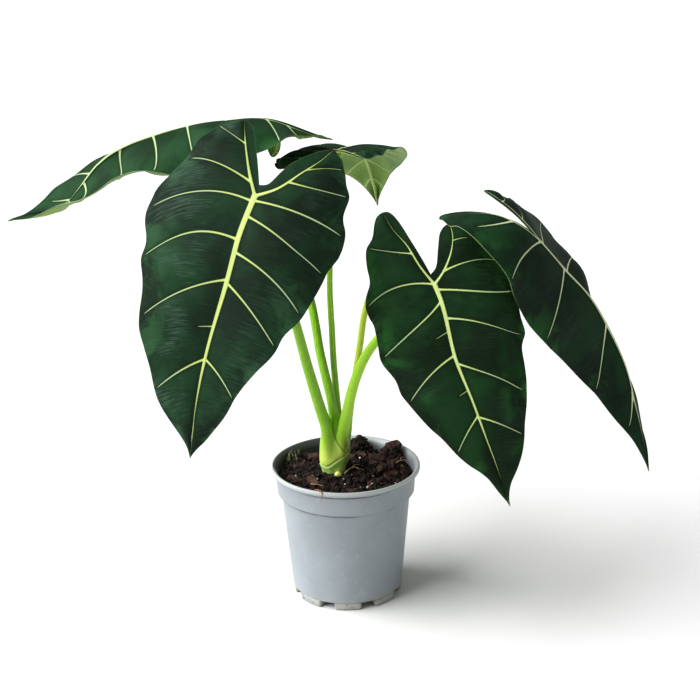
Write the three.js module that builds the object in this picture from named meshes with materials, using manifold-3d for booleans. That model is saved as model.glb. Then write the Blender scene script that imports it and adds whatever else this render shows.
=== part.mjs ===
// Potted alocasia: five arrow-shaped leaves on a sheathed stem, in a round nursery pot of peat and bark.
// Millimetres, +Z up. The origin is on the pot's axis, in the plane that its feet stand on.
import * as THREE from "three";
import { mergeVertices } from "three/addons/utils/BufferGeometryUtils.js";
import Module from "manifold-3d";

const wasm = await Module();
wasm.setup();

// Pot
const RIM_DIAMETER = 120;
const POT_HEIGHT = 110;
const BASE_DIAMETER = 89;
const FOOT_HEIGHT = 6;
const FOOT_COUNT = 8;
const FOOT_ARC = 27; // degrees
const FOOT_DEPTH = 8;
const FLOOR_THICKNESS = 2;
const WALL = 1.6;
const LIP_HEIGHT = 4;
const LIP_OVERHANG = 3.6; // how far the lip stands out of the collar
const COLLAR_HEIGHT = 22; // from the rim down to the step
const STEP_INSET = 3.4; // how far the body steps in below the collar
const GATE_RADIUS = 9; // moulded disc in the middle of the underside, level with the feet
const DRAIN_RADIUS = 3.2;
const DRAIN_CIRCLE = 35; // radius of the ring of drain holes, between the feet
const COLLAR_TAPER = 1; // how much narrower the collar is at its foot
const GATE_TAPER = 0.6;
const BASE_EDGE = 1.4; // rounding of the body's lower edge
const FOOT_INSET = 0.5; // how far a foot's outer face lies inside the body's
const FOOT_ROOT = 0.6; // how far a foot is sunk into the pot's floor
const POT_SIDES = 48;

// Soil
const GAP = 0.3; // between pieces that touch
const SOIL_EDGE_LEVEL = 100;
const SOIL_MIDDLE_LEVEL = 104;
const SOIL_RINGS = 8;
const SOIL_SIDES = 36;
const SOIL_LUMP = 1.3;
const SOIL_HEAP = { x: 15, y: 40, height: 8, spread: 10 }; // loose heap at the back of the pot
const WALL_PLAY = 0.2; // more room at the wall, where the soil has shrunk from it
const BARK_COUNT = 26;
const BARK_RING = { inner: 16, width: 31 }; // from the axis

// Stem base: the sheathed foot of the plant, standing in the soil
const STEM_CENTRE = [-8.5, 1];
const STEM_RADIUS = 12.6;
const STEM_FLATTENING = 0.86; // front to back against side to side
const STEM_FOOT = 72;
const STEM_TOP = 149;

// Petioles
const STALK_SIDES = 12;
const STALK_STEP = 14;
const STALK_TAPER = 0.7; // under 1 the stalk thins sooner near its foot
const FLAT_FOOT = 0.01; // the foot's rim lies this much above its middle

// Blades
const BLADE_THICKNESS = 0.8;
const MIDRIB_RELIEF = { top: 0.7, under: 1.5 };
const LATERAL_RELIEF = { top: 0.35, under: 0.5 };
const QUILTING = 1.1; // how far the blade swells between two laterals
const MARGIN_WAVE = 1.4;
const SINUS_NOTCH = 0.045; // how far the notch lies behind the junction, in midrib lengths
const LOBE_LENGTH = 0.27; // over this length the lobe takes its whole bend, in midrib lengths
const ACROSS = 4; // cells from rib to rim
const DEGREE = Math.PI / 180;

// Each half's rim, from the notch round the lobe to the tip: midrib lengths along, half widths across.
const RIMS = {
  common: [
    [-0.045, 0], [-0.12, 0.07], [-0.2, 0.16], [-0.28, 0.28], [-0.32, 0.4], [-0.29, 0.56], [-0.2, 0.7],
    [-0.08, 0.82], [0.04, 0.9], [0.16, 0.93], [0.28, 0.9], [0.4, 0.79], [0.54, 0.645], [0.68, 0.455],
    [0.8, 0.27], [0.89, 0.12], [0.95, 0.04], [1, 0],
  ],
  broadLobe: [
    [-0.045, 0], [-0.12, 0.09], [-0.2, 0.2], [-0.27, 0.31], [-0.297, 0.43], [-0.27, 0.58], [-0.2, 0.69],
    [-0.08, 0.77], [0, 0.845], [0.09, 0.9], [0.16, 0.93], [0.24, 0.865], [0.34, 0.86], [0.42, 0.78],
    [0.54, 0.69], [0.7, 0.485], [0.79, 0.36], [0.87, 0.2], [0.95, 0.05], [1, 0],
  ],
  pointedLobe: [
    [-0.045, 0], [-0.06, 0.08], [-0.13, 0.135], [-0.21, 0.215], [-0.29, 0.325], [-0.32, 0.4],
    [-0.24, 0.6], [-0.17, 0.7], [-0.12, 0.79], [-0.03, 0.835], [0.035, 0.9], [0.17, 0.895], [0.26, 0.83],
    [0.37, 0.725], [0.43, 0.65], [0.5, 0.615], [0.6, 0.51], [0.72, 0.37], [0.855, 0.19], [0.95, 0.05],
    [1, 0],
  ],
  narrowLobe: [
    [-0.045, 0], [-0.11, 0.03], [-0.205, 0.08], [-0.31, 0.14], [-0.36, 0.22], [-0.355, 0.37],
    [-0.29, 0.49], [-0.24, 0.63], [-0.17, 0.71], [-0.1, 0.76], [-0.045, 0.865], [0.01, 0.92], [0.1, 0.9],
    [0.2, 0.885], [0.26, 0.865], [0.33, 0.755], [0.4, 0.74], [0.54, 0.62], [0.68, 0.435], [0.78, 0.26],
    [0.9, 0.1], [0.96, 0.03], [1, 0],
  ],
  shortLobe: [
    [-0.045, 0], [-0.07, 0.1], [-0.14, 0.205], [-0.21, 0.32], [-0.24, 0.46], [-0.22, 0.62],
    [-0.12, 0.8], [0, 0.92], [0.14, 0.96], [0.21, 0.95], [0.31, 0.965], [0.39, 0.87], [0.47, 0.78],
    [0.54, 0.69], [0.635, 0.555], [0.745, 0.395], [0.84, 0.21], [0.905, 0.065], [0.96, 0.02], [1, 0],
  ],
};

// Basal vein, from the junction to the lobe's tip, as shares of the lobe tip's own place.
const BASAL_VEIN = [[0, 0], [0.3, 0.24], [0.6, 0.52], [0.82, 0.76], [1, 1]];

// Lateral veins: where they start on the rib (-1 lobe tip, 0 junction, 1 leaf tip) and end on the rim
// (midrib lengths along), and how strongly they stand out.
const LATERALS = [
  { start: -0.7, end: -0.25, strength: 0.6 },
  { start: -0.35, end: -0.12, strength: 0.8 },
  { start: 0, end: 0.08, strength: 1 },
  { start: 0.14, end: 0.27, strength: 1 },
  { start: 0.32, end: 0.46, strength: 1 },
  { start: 0.46, end: 0.58, strength: 0.5 },
  { start: 0.61, end: 0.72, strength: 0.9 },
  { start: 0.8, end: 0.87, strength: 0.4 },
];
const VEIN_HALF_ROW = 0.018; // half the width of a lateral's ridge, along the rib

// A leaf: midrib from the junction to the tip, which way its upper side faces there, and the half width.
// For each half: the rim, how the lobe bends back (degrees), how much it is drawn out (reach) and turned
// outwards, and slopes across the blade as rows of [place on the midrib, at the rib, at the rim] in degrees.
const LEAVES = {
  front_left: {
    midrib: [
      [-61, -80, 353], [-72, -97, 329], [-82, -108, 296], [-97, -114, 249], [-107, -114, 207],
      [-114, -110, 163],
    ],
    facing: [-0.25, -1, 0.55],
    halfWidth: 80,
    left: {
      rim: "pointedLobe",
      lobe: { reach: 1, bend: -40, turn: 0.1 },
      slopes: [[-0.3, 0, -30], [0, 5, -40], [0.6, 8, -25], [1, 5, -10]],
    },
    right: {
      rim: "broadLobe",
      lobe: { reach: 1, bend: -30, turn: 0 },
      slopes: [[-0.3, 5, -15], [0, 5, -10], [0.6, 8, -10], [1, 5, -10]],
    },
    petiole: {
      path: [
        [-13, -5, 126], [-15, -7, 145], [-19, -9, 160], [-29, -18, 203], [-36, -28, 238], [-44, -40, 271],
        [-52, -55, 312],
      ],
      base: 5.2,
      top: 2.8,
    },
  },
  front_right: {
    midrib: [
      [68, -72, 282], [74, -80, 266], [82, -93, 232], [95, -101, 199], [107, -105, 165], [123, -104, 117],
    ],
    facing: [0.15, -1, 0.45],
    halfWidth: 60,
    left: {
      rim: "shortLobe",
      lobe: { reach: 1, bend: -40, turn: 0 },
      slopes: [[-0.3, 0, -10], [0, 5, -20], [0.6, 8, -20], [1, 5, -10]],
    },
    right: {
      rim: "narrowLobe",
      lobe: { reach: 1, bend: -10, turn: 0 },
      slopes: [[-0.3, -5, -30], [0, 5, -25], [0.6, 8, -25], [1, 5, -10]],
    },
    petiole: {
      path: [
        [1, 4, 126], [4, 5, 149], [7, 5, 171], [11, 3, 195], [14, 0, 216], [17, -5, 238], [25, -16, 264],
        [38, -32, 280], [53, -47, 283],
      ],
      base: 2.9,
      top: 2.3,
    },
  },
  right: {
    midrib: [
      [148, -42, 305], [168, -34, 280], [193, -25, 249], [218, -18, 199], [230, -18, 155], [241, -22, 108],
    ],
    facing: [0.45, -0.75, 0.65],
    halfWidth: 62,
    left: {
      rim: "common",
      lobe: { reach: 0.8, bend: -54, turn: -0.18 },
      slopes: [
        [-0.3, -27, -78], [0, -37, -43], [0.12, -37, -39], [0.25, -20, -62], [0.38, -72, -42],
        [0.6, -50, -70], [1, -40, -60],
      ],
    },
    right: {
      rim: "common",
      lobe: { reach: 1.09, bend: -69, turn: 0 },
      slopes: [[-0.3, 7, 42], [0, 19, -29], [0.3, -2, -19], [0.6, -18, -15], [1, 5, -10]],
    },
    petiole: {
      path: [
        [-3, -5, 126], [-1, -9, 145], [2, -11, 159], [7, -14, 181], [15, -16, 203], [25, -17, 219],
        [44, -20, 238], [75, -24, 261], [106, -27, 281], [128, -31, 294],
      ],
      base: 5.4,
      top: 2.6,
    },
  },
  left: {
    midrib: [
      [-78, 62, 378.6], [-117, 55, 375.7], [-164, 42, 364.7], [-188, 35, 351.1], [-219, 30, 318],
      [-261, 28, 309],
    ],
    facing: [0, 0, 1],
    halfWidth: 62,
    left: {
      rim: "common",
      lobe: { reach: 1.09, bend: -8.4, turn: 0.04 },
      slopes: [
        [-0.3, -82, 114], [0, 15.4, -66.5], [0.3, -13, -43.3], [0.55, -66, 99], [0.7, -41, 140],
        [0.85, -14, 345], [1, 4, 80],
      ],
    },
    right: {
      rim: "broadLobe",
      lobe: { reach: 1, bend: -144, turn: -0.3 },
      slopes: [
        [-0.3, -20, -39], [0, -50, -44], [0.4, -47.4, -37.7], [0.58, -1, -26], [0.75, 38.6, -32],
        [0.9, 28.3, 116.5], [1, 28.3, 116.5],
      ],
    },
    petiole: {
      path: [
        [-9, 1, 126], [-9, 1, 150], [-11, 2, 166], [-15, 4, 185], [-19, 8, 204], [-25, 17, 241],
        [-36, 27, 272], [-52, 38, 302], [-71, 50, 331],
      ],
      base: 4,
      top: 2.8,
    },
  },
  rear: {
    midrib: [
      [-2, 60, 353], [8, 95, 347], [18, 125, 336], [24, 142, 319], [28, 150, 301], [31, 154, 283],
    ],
    facing: [0.1, 0.6, 0.8],
    halfWidth: 54,
    left: {
      rim: "common",
      lobe: { reach: 0.95, bend: -36.9, turn: 0.34 },
      slopes: [[-0.3, 4.6, -12.3], [0, 7.5, -29.3], [0.3, 0.3, -5.4], [0.6, -20, 9.4], [1, 5, -10]],
    },
    right: {
      rim: "common",
      lobe: { reach: 0.98, bend: -11, turn: 0.29 },
      slopes: [[-0.3, 1, -8], [0, 0, 1], [0.3, -8, -10], [0.6, -15, -40], [1, 5, -10]],
    },
    petiole: {
      path: [
        [-5, 6, 126], [-5, 8, 149], [-6, 9, 162], [-8, 12, 192], [-9, 17, 221], [-10, 23, 249],
        [-9, 30, 280], [-7, 40, 312],
      ],
      base: 3.2,
      top: 2,
    },
  },
};

const FINISHES = {
  pot: { color: 0x9aa2a6, roughness: 0.55, metalness: 0 },
  soil: { color: 0x2a1f19, roughness: 1, metalness: 0 },
  stem: { color: 0xa6c65a, roughness: 0.45, metalness: 0 },
  blade: { color: 0x16301c, roughness: 0.6, metalness: 0 },
};

// Shared helpers

const clamp = THREE.MathUtils.clamp;
const lerp = THREE.MathUtils.lerp;

/** Value at x in a table of rows [x, value], straight between rows. */
function tableValue(rows, x, column = 1) {
  if (x <= rows[0][0]) return rows[0][column];
  for (let i = 1; i < rows.length; i += 1) {
    if (x <= rows[i][0]) {
      const share = (x - rows[i - 1][0]) / (rows[i][0] - rows[i - 1][0]);
      return lerp(rows[i - 1][column], rows[i][column], share);
    }
  }
  return rows[rows.length - 1][column];
}

/** A repeatable source of numbers from 0 to 1. */
function seededRandom(seed) {
  let state = seed;
  return () => {
    state = (state * 1664525 + 1013904223) % 4294967296;
    return state / 4294967296;
  };
}

/** Geometry with only positions, and its shared vertices merged. */
function welded(geometry, tolerance = 1e-4) {
  const plain = geometry.index ? geometry.toNonIndexed() : geometry.clone();
  for (const name of Object.keys(plain.attributes)) {
    if (name !== "position") plain.deleteAttribute(name);
  }
  const merged = mergeVertices(plain, tolerance);
  const index = merged.getIndex().array;
  const kept = [];
  for (let i = 0; i < index.length; i += 3) {
    const [a, b, c] = [index[i], index[i + 1], index[i + 2]];
    if (a !== b && b !== c && a !== c) kept.push(a, b, c);
  }
  merged.setIndex(kept);
  return merged;
}

function toSolid(geometry) {
  const merged = welded(geometry);
  const vertProperties = new Float32Array(merged.getAttribute("position").array);
  const triVerts = new Uint32Array(merged.getIndex().array);
  return new wasm.Manifold(new wasm.Mesh({ numProp: 3, vertProperties, triVerts }));
}

function fromSolid(solid) {
  const { vertProperties, triVerts } = solid.getMesh();
  const geometry = new THREE.BufferGeometry();
  geometry.setAttribute("position", new THREE.BufferAttribute(new Float32Array(vertProperties), 3));
  geometry.setIndex(Array.from(triVerts));
  return geometry;
}

/** The solid's biggest connected body, without the loose scraps that a cut can leave. */
function mainBody(solid) {
  const bodies = solid.decompose();
  return bodies.reduce((best, body) => (body.volume() > best.volume() ? body : best), bodies[0]);
}

function namedMesh(name, geometry, finish) {
  geometry.computeVertexNormals();
  const mesh = new THREE.Mesh(geometry, new THREE.MeshStandardMaterial(FINISHES[finish]));
  mesh.name = name;
  return mesh;
}

/** A turned solid about Z, from a profile of [radius, height] that starts and ends on the axis. */
function turned(profile, sides) {
  const points = profile.map(([radius, height]) => new THREE.Vector2(radius, height));
  const geometry = new THREE.LatheGeometry(points, sides);
  geometry.rotateX(Math.PI / 2);
  return geometry;
}

// Pot

const RIM_RADIUS = RIM_DIAMETER / 2;
const BASE_RADIUS = BASE_DIAMETER / 2;
const COLLAR_RADIUS = RIM_RADIUS - LIP_OVERHANG;
const STEP_LEVEL = POT_HEIGHT - COLLAR_HEIGHT;
const COLLAR_FOOT_RADIUS = COLLAR_RADIUS - COLLAR_TAPER;
const BODY_TOP_RADIUS = COLLAR_FOOT_RADIUS - STEP_INSET;
const FLOOR_LEVEL = FOOT_HEIGHT + FLOOR_THICKNESS;

/** Outside and inside of the pot's wall, from the gate in the underside up over the lip to the floor. */
function potProfile() {
  const lipFoot = POT_HEIGHT - LIP_HEIGHT;
  return [
    [0, 0], [GATE_RADIUS, 0], [GATE_RADIUS + GATE_TAPER, FOOT_HEIGHT],
    [BASE_RADIUS - BASE_EDGE, FOOT_HEIGHT], [BASE_RADIUS, FOOT_HEIGHT + BASE_EDGE],
    [BODY_TOP_RADIUS, STEP_LEVEL - 1.4], [COLLAR_FOOT_RADIUS, STEP_LEVEL],
    [COLLAR_RADIUS, lipFoot], [RIM_RADIUS - 0.5, lipFoot], [RIM_RADIUS, lipFoot + 0.6],
    [RIM_RADIUS, POT_HEIGHT - 0.8], [RIM_RADIUS - 0.8, POT_HEIGHT],
    [COLLAR_RADIUS - 0.4, POT_HEIGHT], [COLLAR_RADIUS - WALL, POT_HEIGHT - 1.4],
    [COLLAR_FOOT_RADIUS - WALL, STEP_LEVEL + 0.6], [BODY_TOP_RADIUS - WALL, STEP_LEVEL - 1.2],
    [BASE_RADIUS - WALL - 0.4, FLOOR_LEVEL], [0, FLOOR_LEVEL],
  ];
}

/** One foot: a short arc of wall under the pot's edge, its outer face in line with the body. */
function footGeometry(angle) {
  const outer = BASE_RADIUS - FOOT_INSET;
  const half = (FOOT_ARC / 2) * DEGREE;
  const shape = new THREE.Shape();
  shape.absarc(0, 0, outer, angle - half, angle + half, false);
  shape.absarc(0, 0, outer - FOOT_DEPTH, angle + half, angle - half, true);
  shape.closePath();
  const depth = FOOT_HEIGHT + FOOT_ROOT;
  return new THREE.ExtrudeGeometry(shape, { depth, bevelEnabled: false, curveSegments: 5 });
}

function drainHoleGeometry(angle) {
  const hole = new THREE.CylinderGeometry(DRAIN_RADIUS, DRAIN_RADIUS, FLOOR_THICKNESS * 4, 10);
  hole.rotateX(Math.PI / 2);
  hole.translate(DRAIN_CIRCLE * Math.cos(angle), DRAIN_CIRCLE * Math.sin(angle), FLOOR_LEVEL);
  return hole;
}

function pot() {
  let solid = toSolid(turned(potProfile(), POT_SIDES));
  const pitch = (2 * Math.PI) / FOOT_COUNT;
  for (let i = 0; i < FOOT_COUNT; i += 1) {
    solid = solid.add(toSolid(footGeometry(i * pitch - Math.PI / 2)));
  }
  for (let i = 0; i < FOOT_COUNT; i += 1) {
    solid = solid.subtract(toSolid(drainHoleGeometry((i + 0.5) * pitch)));
  }
  return namedMesh("pot", fromSolid(solid), "pot");
}

// Stem base

/** The stem's foot, grown by a clearance where it is used to cut its neighbours. */
function stemBaseGeometry(clearance = 0) {
  const r = STEM_RADIUS;
  const profile = [
    [0, STEM_FOOT], [r * 0.45, STEM_FOOT + 1], [r * 0.6, STEM_FOOT + 5], [r * 0.65, STEM_FOOT + 14],
    [r * 0.7, 102], [r * 0.84, 107], [r * 1.0, 113], [r * 1.05, 120], [r * 0.97, 131], [r * 0.82, 140],
    [r * 0.55, 146], [0, STEM_TOP],
  ];
  const grown = profile.map(([radius, height], i) => {
    const ends = { 0: -clearance, [profile.length - 1]: clearance };
    return [radius === 0 ? 0 : radius + clearance, height + (ends[i] ?? 0)];
  });
  const geometry = turned(grown, 28);
  geometry.scale(1, STEM_FLATTENING, 1);
  geometry.translate(STEM_CENTRE[0], STEM_CENTRE[1], 0);
  return geometry;
}

// Soil

/** Height of the soil at a place: a low mound with lumps, lower towards the wall. */
function soilLevel(x, y, edgeRadius) {
  const share = clamp(Math.hypot(x, y) / edgeRadius, 0, 1);
  const mound = lerp(SOIL_MIDDLE_LEVEL, SOIL_EDGE_LEVEL, share ** 2.2);
  const lumps = Math.sin(x * 0.21 + 1.7) * Math.cos(y * 0.19 - 0.6) + 0.6 * Math.sin(x * 0.43 - y * 0.37);
  const fromHeap = Math.hypot(x - SOIL_HEAP.x, y - SOIL_HEAP.y) / SOIL_HEAP.spread;
  const heap = SOIL_HEAP.height * Math.exp(-(fromHeap ** 2));
  return mound + SOIL_LUMP * lumps * (1 - 0.5 * share) + heap;
}

/** The body of soil: it fills the pot to its wall, and its top is set to the soil's level. */
function soilGeometry() {
  const sides = Math.cos(Math.PI / POT_SIDES); // a many-sided wall lies a little inside its circle
  const inside = (radius) => radius * sides - WALL - GAP - WALL_PLAY;
  const collarShare = (SOIL_EDGE_LEVEL - STEP_LEVEL) / (POT_HEIGHT - LIP_HEIGHT - STEP_LEVEL);
  const edge = inside(lerp(COLLAR_FOOT_RADIUS, COLLAR_RADIUS, collarShare));
  const side = [
    [0, FLOOR_LEVEL + GAP], [inside(BASE_RADIUS - WALL_PLAY), FLOOR_LEVEL + GAP],
    [inside(BODY_TOP_RADIUS), STEP_LEVEL - 1.2 + GAP], [inside(COLLAR_FOOT_RADIUS), STEP_LEVEL + 0.9 + GAP],
    [edge, SOIL_EDGE_LEVEL],
  ];
  const top = [];
  for (let i = SOIL_RINGS - 1; i >= 0; i -= 1) top.push([edge * (i / SOIL_RINGS), POT_HEIGHT]);
  const geometry = turned([...side, [edge, POT_HEIGHT], ...top], SOIL_SIDES);
  const place = geometry.getAttribute("position");
  for (let i = 0; i < place.count; i += 1) {
    if (place.getZ(i) > POT_HEIGHT - 1) {
      place.setZ(i, soilLevel(place.getX(i), place.getY(i), edge));
    }
  }
  return geometry;
}

/** A chip of bark lying half sunk in the soil. */
function barkGeometry(random) {
  const [long, wide, thick] = [5 + 6 * random(), 3 + 3 * random(), 1.6 + 1.2 * random()];
  const chip = new THREE.BoxGeometry(long, wide, thick);
  const place = chip.getAttribute("position");
  for (let i = 0; i < place.count; i += 1) {
    if (place.getX(i) > 0) place.setY(i, place.getY(i) * 0.6);
  }
  chip.rotateX((random() - 0.5) * 0.9);
  chip.rotateY((random() - 0.5) * 0.9);
  chip.rotateZ(random() * Math.PI * 2);
  const angle = random() * Math.PI * 2;
  const distance = BARK_RING.inner + BARK_RING.width * Math.sqrt(random());
  const [x, y] = [distance * Math.cos(angle), distance * Math.sin(angle)];
  chip.translate(x, y, soilLevel(x, y, RIM_RADIUS - 6) + 0.5);
  return chip;
}

function soil() {
  let solid = toSolid(soilGeometry());
  const random = seededRandom(7);
  for (let i = 0; i < BARK_COUNT; i += 1) {
    solid = solid.add(toSolid(barkGeometry(random)));
  }
  solid = solid.subtract(toSolid(stemBaseGeometry(GAP)));
  return namedMesh("soil", fromSolid(mainBody(solid)), "soil");
}

// Leaf surface

/** One leaf's middle surface, from flat places (along in midrib lengths, across in half widths) to space. */
class LeafSurface {
  constructor(leaf) {
    this.leaf = leaf;
    const points = leaf.midrib.map((place) => new THREE.Vector3(...place));
    this.midrib = new THREE.CatmullRomCurve3(points, false, "catmullrom", 0.5);
    this.midrib.arcLengthDivisions = 400;
    this.length = this.midrib.getLength();
    this.facing = new THREE.Vector3(...leaf.facing);
    this.halves = { [-1]: this.half(leaf.left), [1]: this.half(leaf.right) };
  }

  /** Rim and basal vein of one half, as flat places, with the rim's own length measured in millimetres. */
  half(half) {
    const points = RIMS[half.rim].map(([along, across]) => new THREE.Vector2(along, across));
    const whole = new THREE.SplineCurve(points).getPoints(points.length * 12);
    const lobeTip = whole.reduce((best, place, i) => (place.x < whole[best].x ? i : best), 0);
    const size = new THREE.Vector2(this.length, this.leaf.halfWidth);
    const measure = (line) => {
      const scaled = line.map((place) => place.clone().multiply(size));
      const reach = [0];
      for (let i = 1; i < scaled.length; i += 1) {
        reach.push(reach[i - 1] + scaled[i].distanceTo(scaled[i - 1]));
      }
      return reach;
    };
    const rim = whole.slice(lobeTip);
    const sinus = whole.slice(0, lobeTip + 1).reverse();
    const tip = whole[lobeTip];
    const vein = new THREE.SplineCurve(BASAL_VEIN.map(([a, b]) => new THREE.Vector2(tip.x * a, tip.y * b)));
    const rimReach = measure(rim);
    const rimEnds = LATERALS.map(({ start, end }) => {
      const i = rim.findIndex((place) => place.x >= end);
      return [start, rimReach[i]];
    });
    const ends = [[-1, 0], ...rimEnds, [1, rimReach[rimReach.length - 1]]];
    return { ...half, rim, rimReach, sinus, sinusReach: measure(sinus), vein, ends };
  }

  /** Point and frame on the midrib at a distance from the junction: ahead, up and to the leaf's right. */
  frame(distance) {
    const share = clamp(distance / this.length, 0, 1);
    const point = this.midrib.getPointAt(share);
    const ahead = this.midrib.getTangentAt(share);
    const up = this.facing.clone().addScaledVector(ahead, -this.facing.dot(ahead)).normalize();
    return { point, ahead, up, right: new THREE.Vector3().crossVectors(ahead, up) };
  }

  /** Place in space of a flat place; side is -1 on the leaf's left and 1 on its right. */
  place(along, across, side) {
    const { lobe, slopes } = this.halves[side];
    const { point, ahead, up, right } = this.frame(Math.max(along, 0) * this.length);
    const behind = Math.max(-along, 0) * this.length;
    const straight = Math.min(behind, SINUS_NOTCH * this.length);
    const curved = (behind - straight) * lobe.reach;
    const curvature = (lobe.bend * DEGREE) / (LOBE_LENGTH * this.length);
    const angle = curvature * curved;
    point.addScaledVector(ahead, -straight - Math.sin(angle) / curvature);
    point.addScaledVector(up, (1 - Math.cos(angle)) / curvature);
    const tilted = up.clone().multiplyScalar(Math.cos(angle)).addScaledVector(ahead, Math.sin(angle));
    const width = across * this.leaf.halfWidth + lobe.turn * curved;
    const atRib = tableValue(slopes, along, 1) * DEGREE;
    const atRim = tableValue(slopes, along, 2) * DEGREE;
    const rolling = (atRim - atRib) / this.leaf.halfWidth || 1e-6;
    const sideways = (Math.sin(atRib + rolling * width) - Math.sin(atRib)) / rolling;
    const rise = -(Math.cos(atRib + rolling * width) - Math.cos(atRib)) / rolling;
    return point.addScaledVector(right, side * sideways).addScaledVector(tilted, rise);
  }

  /** The upper side's direction at a flat place, from two short steps along the surface. */
  normal(along, across, side) {
    if (across < 1e-6) return this.frame(Math.max(along, 0) * this.length).up;
    const step = 0.01;
    const ahead = this.place(along + step, across, side).sub(this.place(along - step, across, side));
    const outwards = this.place(along, across + step, side).sub(this.place(along, across - step, side));
    return outwards.cross(ahead).multiplyScalar(side).normalize();
  }

  /** Flat place on the rim at a distance along it. */
  onLine(line, reach, distance) {
    let i = 1;
    while (i < reach.length - 1 && reach[i] < distance) i += 1;
    const share = clamp((distance - reach[i - 1]) / (reach[i] - reach[i - 1]), 0, 1);
    return line[i - 1].clone().lerp(line[i], share);
  }

  /** Flat place on the rib: the basal vein behind the junction, the midrib ahead of it. */
  onRib(row, side) {
    return row < 0 ? this.halves[side].vein.getPoint(-row) : new THREE.Vector2(row, 0);
  }

  /** Flat place on a row from rib to rim; the row leaves the rib steeply and bends tipwards. */
  onRow(row, share, side) {
    const half = this.halves[side];
    const start = this.onRib(row, side);
    const end = this.onLine(half.rim, half.rimReach, tableValue(half.ends, row));
    const bend = new THREE.Vector2(lerp(start.x, end.x, 0.3), lerp(start.y, end.y, 0.55));
    const curve = new THREE.QuadraticBezierCurve(start, bend, end);
    return curve.getPoint(share);
  }

  /** Flat place between the basal vein and the sinus, on the lobe's inner side. */
  onInnerRow(row, share, side) {
    const half = this.halves[side];
    const start = this.onRib(row, side);
    const whole = half.sinusReach[half.sinusReach.length - 1];
    const end = this.onLine(half.sinus, half.sinusReach, whole * (1 + row));
    return start.lerp(end, share);
  }
}

/** How strongly a row is a lateral vein: 1 on the vein, 0 off it. */
function veinStrength(row) {
  const vein = LATERALS.find(({ start }) => Math.abs(start - row) < 1e-6);
  return vein ? vein.strength : 0;
}

/** How far a row lies from the veins on either side of it: 0 on a vein, 1 midway. */
function betweenVeins(row) {
  const starts = [-1, ...LATERALS.map(({ start }) => start), 1];
  const next = starts.findIndex((start) => start >= row);
  if (next <= 0) return 0;
  const share = (row - starts[next - 1]) / (starts[next] - starts[next - 1]);
  return Math.sin(Math.PI * share);
}

/** Swelling between veins and waves at the rim, as a distance along the upper side's direction. */
function surfaceSwell(row, share) {
  const swell = QUILTING * betweenVeins(row) * Math.sin(Math.PI * Math.min(share * 1.15, 1));
  const wave = MARGIN_WAVE * Math.cos(row * 17) * share ** 3 * (1 - Math.abs(row) ** 4);
  return swell + wave;
}

/** Rows across a half: three for each lateral, one midway between laterals. */
function rowTable() {
  const starts = LATERALS.map(({ start }) => start);
  const rows = [-1, -0.88];
  starts.forEach((start, i) => {
    const next = i + 1 < starts.length ? starts[i + 1] : 1;
    rows.push(start - VEIN_HALF_ROW, start, start + VEIN_HALF_ROW, (start + next) / 2);
  });
  rows.push(0.96, 1);
  return rows.sort((a, b) => a - b);
}

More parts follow.
